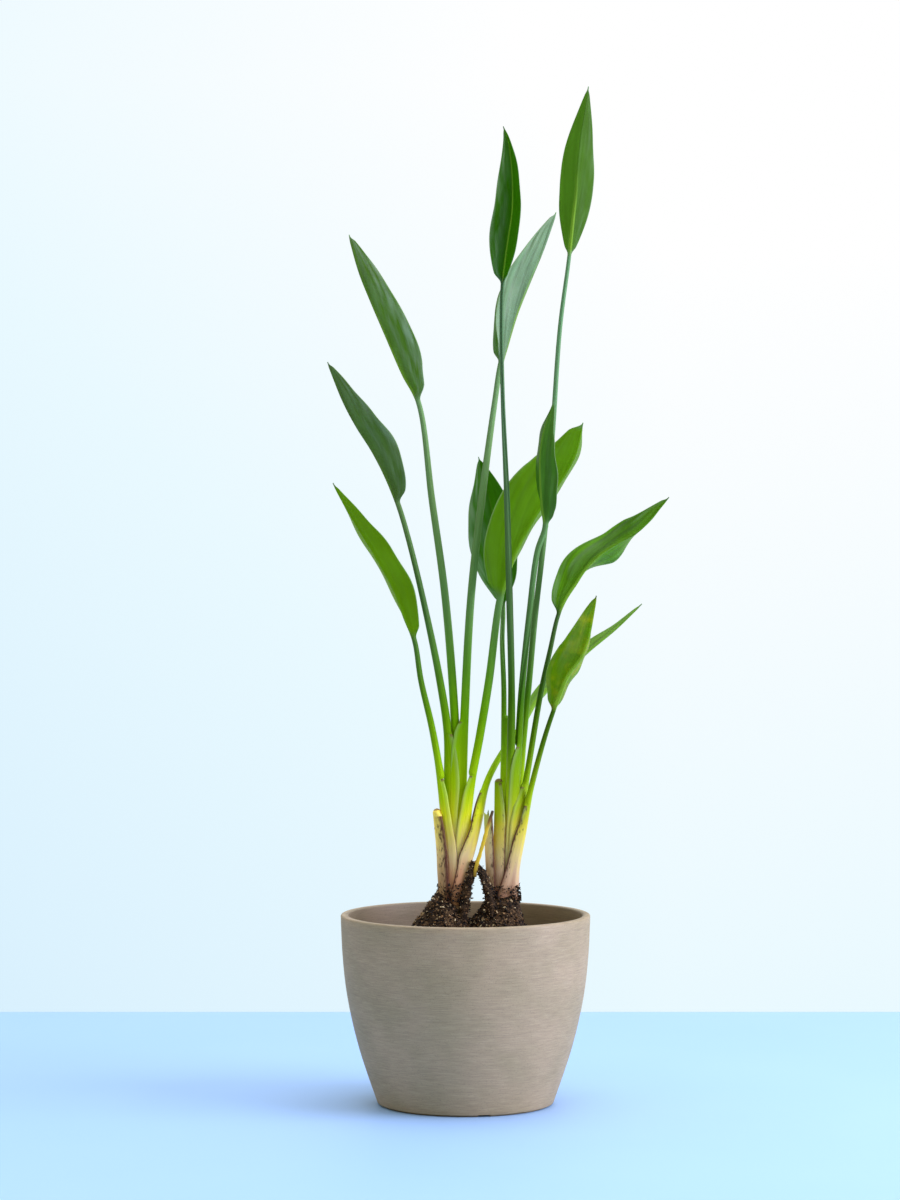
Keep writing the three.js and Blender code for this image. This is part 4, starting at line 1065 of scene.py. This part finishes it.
# Leaves of the right shoot: the same growth, from sheath through stalk to a leathery waxy blade.
# Three of them rise tallest, and the outer ones hang open.
RIGHT_LEAVES = {
    "right_leaf_1": {
        "path": [
            (32.5, 0.5, 141), (32.6, 0.5, 168), (33.3, -0.5, 195), (35.6, -5.5, 244),
            (36.6, -18, 305), (36.5, -24, 341), (34.7, -34, 405), (32.5, -40, 484),
            (29.2, -44, 562), (28.1, -45, 617), (28.9, -45, 652), (31.4, -46, 674),
            (33.7, -46, 690), (36, -45, 705), (37, -44, 717), (36.4, -42, 743), (33.3, -38, 767),
            (29.6, -34, 778),
        ],
        "girth": [
            (150, 3.5, 5), (195, 3.8, 4.8), (244, 3.8, 4.2), (305, 3.2, 3.2), (341, 2.8, 2.8),
            (405, 2.7, 2.7), (484, 2.3, 2.3), (562, 1.7, 1.7), (652, 1.6, 1.6),
        ],
        "foot": 10, "width": 17, "cup": 8, "belly": 0.7, "fullness": 0.92,
        "left": [205, 205, 200], "right": [-65, -67, -70],
        "sheath": (0, 45, 312),
    },
    "right_leaf_2": {
        "path": [
            (31, 3, 141), (31, 3, 168), (31, 4.5, 195), (31, 8.5, 243), (31.1, 13, 282),
            (31, 19, 331), (29.8, 27, 371), (30.6, 35, 396), (28.2, 40, 427), (24.2, 43, 460),
            (18.5, 45, 492), (10.7, 46, 519),
        ],
        "girth": [
            (150, 3.5, 5), (195, 3.8, 4.8), (243, 3.5, 3.8), (282, 2.6, 2.6), (331, 2.1, 2.1),
            (396, 1.9, 1.9),
        ],
        "foot": 7, "width": 24, "cup": 10, "belly": 0.9, "fullness": 1,
        "left": [195, 200, 200], "right": [-42, -44, -42],
        "sheath": (0, 50, 268),
        "lap": [
            (30, 2, 200), (34, 4, 250), (38, 8, 285), (39.6, 10, 298), (39.4, 11, 308),
        ],
    },
    "right_leaf_3": {
        "path": [
            (34.5, 2.5, 141), (34.6, 2.5, 168), (37.4, 3.5, 195), (42.2, 7, 243), (46.1, 14, 286),
            (51, 20, 335), (56.2, 26, 389), (64.4, 30, 461), (70.8, 32, 543), (76.5, 34, 623),
            (83.7, 34, 679), (86.8, 33, 709), (89.1, 33, 730), (89.8, 33, 743), (92.6, 34, 774),
            (96.6, 36, 799), (99.5, 38, 818),
        ],
        "girth": [
            (150, 3.6, 5), (195, 3.8, 4.8), (243, 3.6, 4), (286, 2.8, 2.8), (389, 2.4, 2.4),
            (543, 2.1, 2.1), (679, 1.6, 1.6),
        ],
        "foot": 10, "width": 16, "cup": 12, "belly": 0.84, "fullness": 0.95,
        "left": [146, 146, 146], "right": [32, 28, 30],
        "sheath": (180, 45, 300), "wave": 0.4,
    },
    "right_leaf_4": {
        "path": [
            (33.8, -0.5, 141), (34, -0.5, 168), (36.4, -2, 195), (39.6, -5, 244), (42.2, -12, 287),
            (44.6, -20, 332), (50.7, -33, 396), (56.5, -41, 443), (62.8, -43, 463),
            (61.2, -44, 476), (59.6, -44, 495), (59.1, -44, 519), (61.1, -44, 535),
            (65.1, -44, 548), (69.4, -44, 561),
        ],
        "girth": [
            (150, 3.6, 5.6), (195, 3.8, 5.4), (244, 3.6, 4.4), (287, 3, 3), (332, 2.7, 2.7),
            (443, 2.3, 2.3),
        ],
        "foot": 8, "width": 16, "cup": 10, "left": [95, 102, 105], "right": [-32, -38, -40],
        "sheath": (215, 50, 292),
        "lap": [
            (30.8, -6.5, 188), (32.3, -8.8, 216.2), (33.9, -10.4, 237.9), (34.7, -13, 254.1),
            (35.6, -15.6, 267.9), (37.4, -16.8, 277.5), (40.6, -16, 287),
        ],
    },
    "right_leaf_5": {
        "path": [
            (35, -1.2, 141), (35, -1.2, 168), (38.2, -1.6, 195), (44.6, -1, 236), (50.8, 1, 273),
            (60.8, 6, 331), (67.9, 9, 363), (74.4, 11, 391), (80, 11, 404), (88, 11, 416),
            (96, 10, 428), (107.9, 8, 440), (121.5, 6, 449), (139.7, 3, 460), (162.6, -2, 486),
        ],
        "girth": [
            (150, 4, 6.2), (195, 4.4, 5.8), (236, 3.8, 4.4), (262, 2.6, 2.6), (331, 2.2, 2.2),
            (391, 1.7, 1.7),
        ],
        "foot": 7, "width": 20, "cup": 8, "left": [178, 172, 125, 170, 165],
        "right": [80, 88, 56, 84, 86],
        "sheath": (180, 52, 260), "wave": 1.6,
        "lap": [
            (34, -8, 188.1), (35.5, -9.9, 225.9), (38.4, -10.2, 239.1), (42.1, -9, 248.5),
            (44.4, -5, 254.3),
        ],
    },
    "right_leaf_6": {
        "path": [
            (34.6, -3.4, 141), (34.6, -3.4, 168), (37, -3.6, 187), (44.6, -5, 219),
            (52.8, -10, 256), (62.5, -16, 293), (69.5, -20, 315), (74.6, -22, 328),
            (81.2, -25, 344), (92.2, -28, 360), (96.9, -30, 373), (101.5, -34, 397),
            (103.2, -36, 408),
        ],
        "girth": [
            (150, 8, 7), (175, 7.8, 7), (190, 6, 6.4), (219, 4.2, 5), (250, 2.4, 2.6),
            (315, 1.8, 1.8),
        ],
        "foot": 6, "width": 20.5, "cup": 8, "left": [138, 148, 165, 180, 175],
        "right": [78, 72, 80, 86, 85],
        "sheath": (180, 55, 246),
        "lap": [
            (25.1, -10.4, 169.9), (29, -10.4, 180.5), (32.7, -10, 191.9), (35.5, -10, 203.5),
            (38.4, -10.2, 214.7), (43.1, -10, 225.9), (47, -11, 239.6),
        ],
    },
}
# Lift, halves and bloom paint light, shade and sheen as on the left.
RIGHT_FINISH = {
    "right_leaf_1": {
        "skin": ("#477320", "#326b0a", "#85bd0d"), "painted_light": (1.5, 290, 0.85),
        "wax_and_sheen": (0.0, 0.4), "halves": (0.8, 0.9), "rib": (1.0, 160),
    },
    "right_leaf_2": {
        "skin": ("#44721e", "#3c730d", "#81b915"), "painted_light": (1.4, 290, 1.6),
        "wax_and_sheen": (0.0, 0.6),
    },
    "right_leaf_3": {
        "skin": ("#5b8823", "#4a7718", "#97c518"), "painted_light": (1.3, 290, 1.25),
        "wax_and_sheen": (0.0, 0.14), "halves": (1.25, 0.6), "pleat": 0.13, "rib": (0.9, 75),
    },
    "right_leaf_4": {
        "skin": ("#4f7a28", "#437015", "#7cb01a"), "painted_light": (1.0, 290, 1.2),
        "wax_and_sheen": (0.04, 0.12), "halves": (0.95, 1.15), "pleat": 0.42,
    },
    "right_leaf_5": {
        "skin": ("#66961a", "#70a01c", "#a6ce12"), "painted_light": (1.0, 290, 0.8),
        "wax_and_sheen": (0.3, 0.15), "pleat": 0.42,
    },
    "right_leaf_6": {
        "skin": ("#719a0e", "#7ba811", "#bedc0a"), "painted_light": (0.95, 290, 0.65), "pale_from": 228,
        "stain": 1.2, "spots": 0.6, "wax_and_sheen": (0.15, 0.03), "pleat": 0.14, "rib": (0.9, 90),
    },
}
RIGHT_GREENING = [
    (150, "#a87455"), (168, "#c8906e"), (184, "#e8bc90"), (200, "#f6d684"), (214, "#f8dc5e"),
    (226, "#e8d438"), (240, "#bccc18"), (256, "#9cb80a"), (290, "#67900a"), (326, "#44700c"),
    (380, "#547638"), (464, "#628448"), (559, "#688c5a"),
]
for number, (name, leaf) in enumerate(RIGHT_LEAVES.items()):
    settings = dict(RIGHT_FINISH[name], ramp=RIGHT_GREENING)
    finish = leaf_finish(f"WaxyLeafRight{number + 1}", *settings.pop("skin"), **settings)
    grown_piece(name, leaf, finish, 200 + number)

# Cut leaf bases: outer leaves that were cut off, one on each shoot. The left one has dried to
# yellow-cream with a purple-brown edge, the right one is still green. Each has browned at the cut,
# for the mm that browned gives.
CUT_BASES = {
    "left_cut_leaf_base": {
        "path": [
            (-17, -2.4, 141), (-17.2, -2.4, 168), (-18.4, -3, 185), (-19.4, -4, 204),
            (-21.6, -4, 224), (-23.2, -4, 237),
        ],
        "girth": [
            (150, 4.4, 6.6), (204, 4, 6), (237, 3.3, 4.6),
        ],
        "sheath": (0, 50, 300), "browned": 2.2,
        "lap": [
            (-12.8, -10.8, 170), (-14.6, -10.6, 203.5), (-16.9, -10, 222), (-18.8, -9.4, 231),
        ],
    },
    "right_cut_leaf_base": {
        "path": [
            (26.5, -1, 141), (25.6, -1, 168), (25, -2, 185), (26.4, -3, 228), (26.8, -4, 261),
        ],
        "girth": [
            (150, 3.8, 6), (185, 3.6, 5.6), (261, 3.5, 4.4),
        ],
        "sheath": (0, 50, 330), "browned": 6,
        "lap": [
            (31.6, -8.8, 169.7), (31.4, -9.2, 191.8), (31.6, -9.6, 209), (31.8, -9.8, 226),
            (31, -9.4, 240), (30, -8.6, 250), (28.8, -7, 257),
        ],
    },
}
DRY_SKIN = ("#c9b070", "#c9b070", "#c9b070")
DRIED = [
    (160, "#96704c"), (182, "#c8a070"), (200, "#e4c17c"), (218, "#f4d670"), (240, "#f6d850"),
]
# The dried base's lift is painted light on its sheath.
cut_finish = {
    "left_cut_leaf_base": leaf_finish(
        "DriedCutLeafBase", *DRY_SKIN, 400, ramp=DRIED, gloss=0.5, stain=3.0, painted_light=(1.45, 300, 1.0)
    ),
    "right_cut_leaf_base": leaf_finish(
        "GreenCutLeafBase", *DRY_SKIN, 222, ramp=RIGHT_GREENING, stain=0.8
    ),
}
for number, (name, finish) in enumerate(cut_finish.items()):
    grown_piece(name, CUT_BASES[name], finish, 300 + number)

# Dried outer sheath: the papery remains of the right shoot's oldest leaf, tan with purple-brown
# lines. It clasps the shoot, and its torn top is up to ragged mm lower in places.
DRIED_SHEATH = {
    "path": [
        (22.6, -1, 141), (21.6, -1, 168), (20.4, -2, 185), (19.2, -3, 207), (18.2, -4, 235),
    ],
    "girth": [
        (150, 4.2, 6.4), (207, 3.8, 5.6), (235, 3.4, 4.6),
    ],
    "sheath": (0, 50, 300), "ragged": 9,
    "lap": [
        (24.4, -9.4, 169.8), (22.9, -9.5, 196.2), (22.3, -9.2, 215), (21.6, -8.8, 236),
    ],
}
PAPERY = [(160, "#96704e"), (178, "#c29a6e"), (198, "#e6c592"), (218, "#e8d48c"), (236, "#bcc446")]
# Its lift is painted light on the sheath.
papery = leaf_finish(
    "PaperyDriedSheath", *DRY_SKIN, 400, ramp=PAPERY, gloss=0.6, stain=1.2, painted_light=(1.2, 300, 1.0)
)
grown_piece("dried_sheath", DRIED_SHEATH, papery, 310)

# Dried strip: a yellow papery strip of the same old leaf. It leans across to the old root, and its
# top has curled in and browned.
STRIP_PATH = [
    (7.4, -12.2, 183), (8.6, -12.4, 191), (11.6, -12.4, 201.5), (14.9, -13, 213),
    (18.6, -13.4, 226), (21.9, -13.6, 236),
]
STRIP_GIRTH = [
    (183, 1.2, 0.5), (190, 1.5, 0.55), (216, 1.45, 0.5), (230, 1.25, 0.45), (236, 0.9, 0.4),
]
STRIP_STRANDS = (1.25, 1.25, 16.667)
STRIP_WANDER = 10
STRIP_SPAN = (190, 240)
ROD_LUMP, ROD_TANGENT = 3.4, 0.4


def rod_rings(path, girth, turns=16, step=1.5, rough=0.0):
    """Rings of a round or flat rod along a path. Rough is the part of its radius by which a point
    may lie further in or out."""
    line = smooth_line(path, LINE_STEPS)
    run = lengths_along(line)
    girth = np.array(girth, float)
    angles = np.linspace(0, 2 * math.pi, turns, endpoint=False)
    rings = []
    for stop in np.linspace(0, run[-1], int(run[-1] / step)):
        centre, across, away = place_on(line, run, stop, ROD_TANGENT)
        wide, deep = (np.interp(centre[2], girth[:, 0], girth[:, k]) for k in (1, 2))
        ring = centre + np.outer(wide * np.cos(angles), across)
        ring = ring + np.outer(deep * np.sin(angles), away)
        lumps = [rough * noise.noise(Vector(p) / ROD_LUMP) for p in ring]
        rings.append(ring + (ring - centre) * np.array(lumps)[:, None])
    return np.array(rings)


dry, add = start_material("YellowDryLeafStrip")
place = add("TexCoord").outputs["Object"]
height = add("SeparateXYZ", {"Vector": place}).outputs["Z"]
strands = add("Mapping", {"Vector": place, "Scale": [1 / (mm * MM) for mm in STRIP_STRANDS]})
strands = add("TexNoise", {"Vector": strands, "Scale": 1.0, "Detail": 2.0})
wander = add("Math", {0: strands, 1: STRIP_WANDER * MM, 2: height}, operation="MULTIPLY_ADD")
risen = add(
    "MapRange", {"Value": wander, "From Min": STRIP_SPAN[0] * MM, "From Max": STRIP_SPAN[1] * MM}
)
gold = add(
    "ValToRGB",
    {"Fac": risen},
    stops=[
        (0.0, "#9a7612"), (1.0, "#2c1d10"), (0.2, "#e8bc18"), (0.7, "#ecc01c"), (0.86, "#94611c"),
    ],
)
shader = add("BsdfPrincipled", {"Base Color": gold, "Roughness": 0.55})
add("OutputMaterial", {"Surface": shader})
points, faces = lofted(rod_rings(STRIP_PATH, STRIP_GIRTH, rough=0.3))
piece = mesh_piece("dried_strip_curl", points, faces, dry)
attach(piece, "root")
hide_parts("dried_strip")

# Old root: a woody root that stands out of the soil and bridges the two heaps like an arch. Soil
# and fine fibres cling all over it, so it looks as rough and dark as the heaps.
ROOT_ARMS = [
    [(-3, -12, 146), (-1, -10, 160), (2, -8.5, 176), (5.4, -8.5, 187), (6.8, -8.5, 195)],
    [(22, -14, 148), (19.6, -13, 163), (16.4, -11.5, 177), (12.4, -10, 187), (7, -8.5, 192)],
]
ARM_GIRTH = [(146, 4.2, 4.2), (170, 3.6, 3.6), (186, 3.2, 3.2), (195, 2.2, 2.2)]
ARM_BITS = 900
ARM_BIT_SIZES = (0.4, 1.6)
ARM_BIT_STRAY = 0.5
for number, arm in enumerate(ROOT_ARMS):
    points, faces = lofted(rod_rings(arm, ARM_GIRTH, turns=20, step=1.0, rough=0.4))
    piece = mesh_piece(f"old_root_arm_{number + 1}", points, faces, peat)
    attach(piece, "root")
    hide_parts("old_root")
    draw = np.random.default_rng(400 + number)
    picks = draw.integers(0, len(points), ARM_BITS)
    near = points[picks] + draw.normal(0, ARM_BIT_STRAY, (ARM_BITS, 3))
    points, faces, tones = loose_bits(near, draw, ARM_BIT_SIZES)
    name = f"old_root_crumbs_{number + 1}"
    crumbs = mesh_piece(name, points, faces, bits_finish, {"tone": tones})
    crumbs.data.shade_flat()
    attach(crumbs, "root")
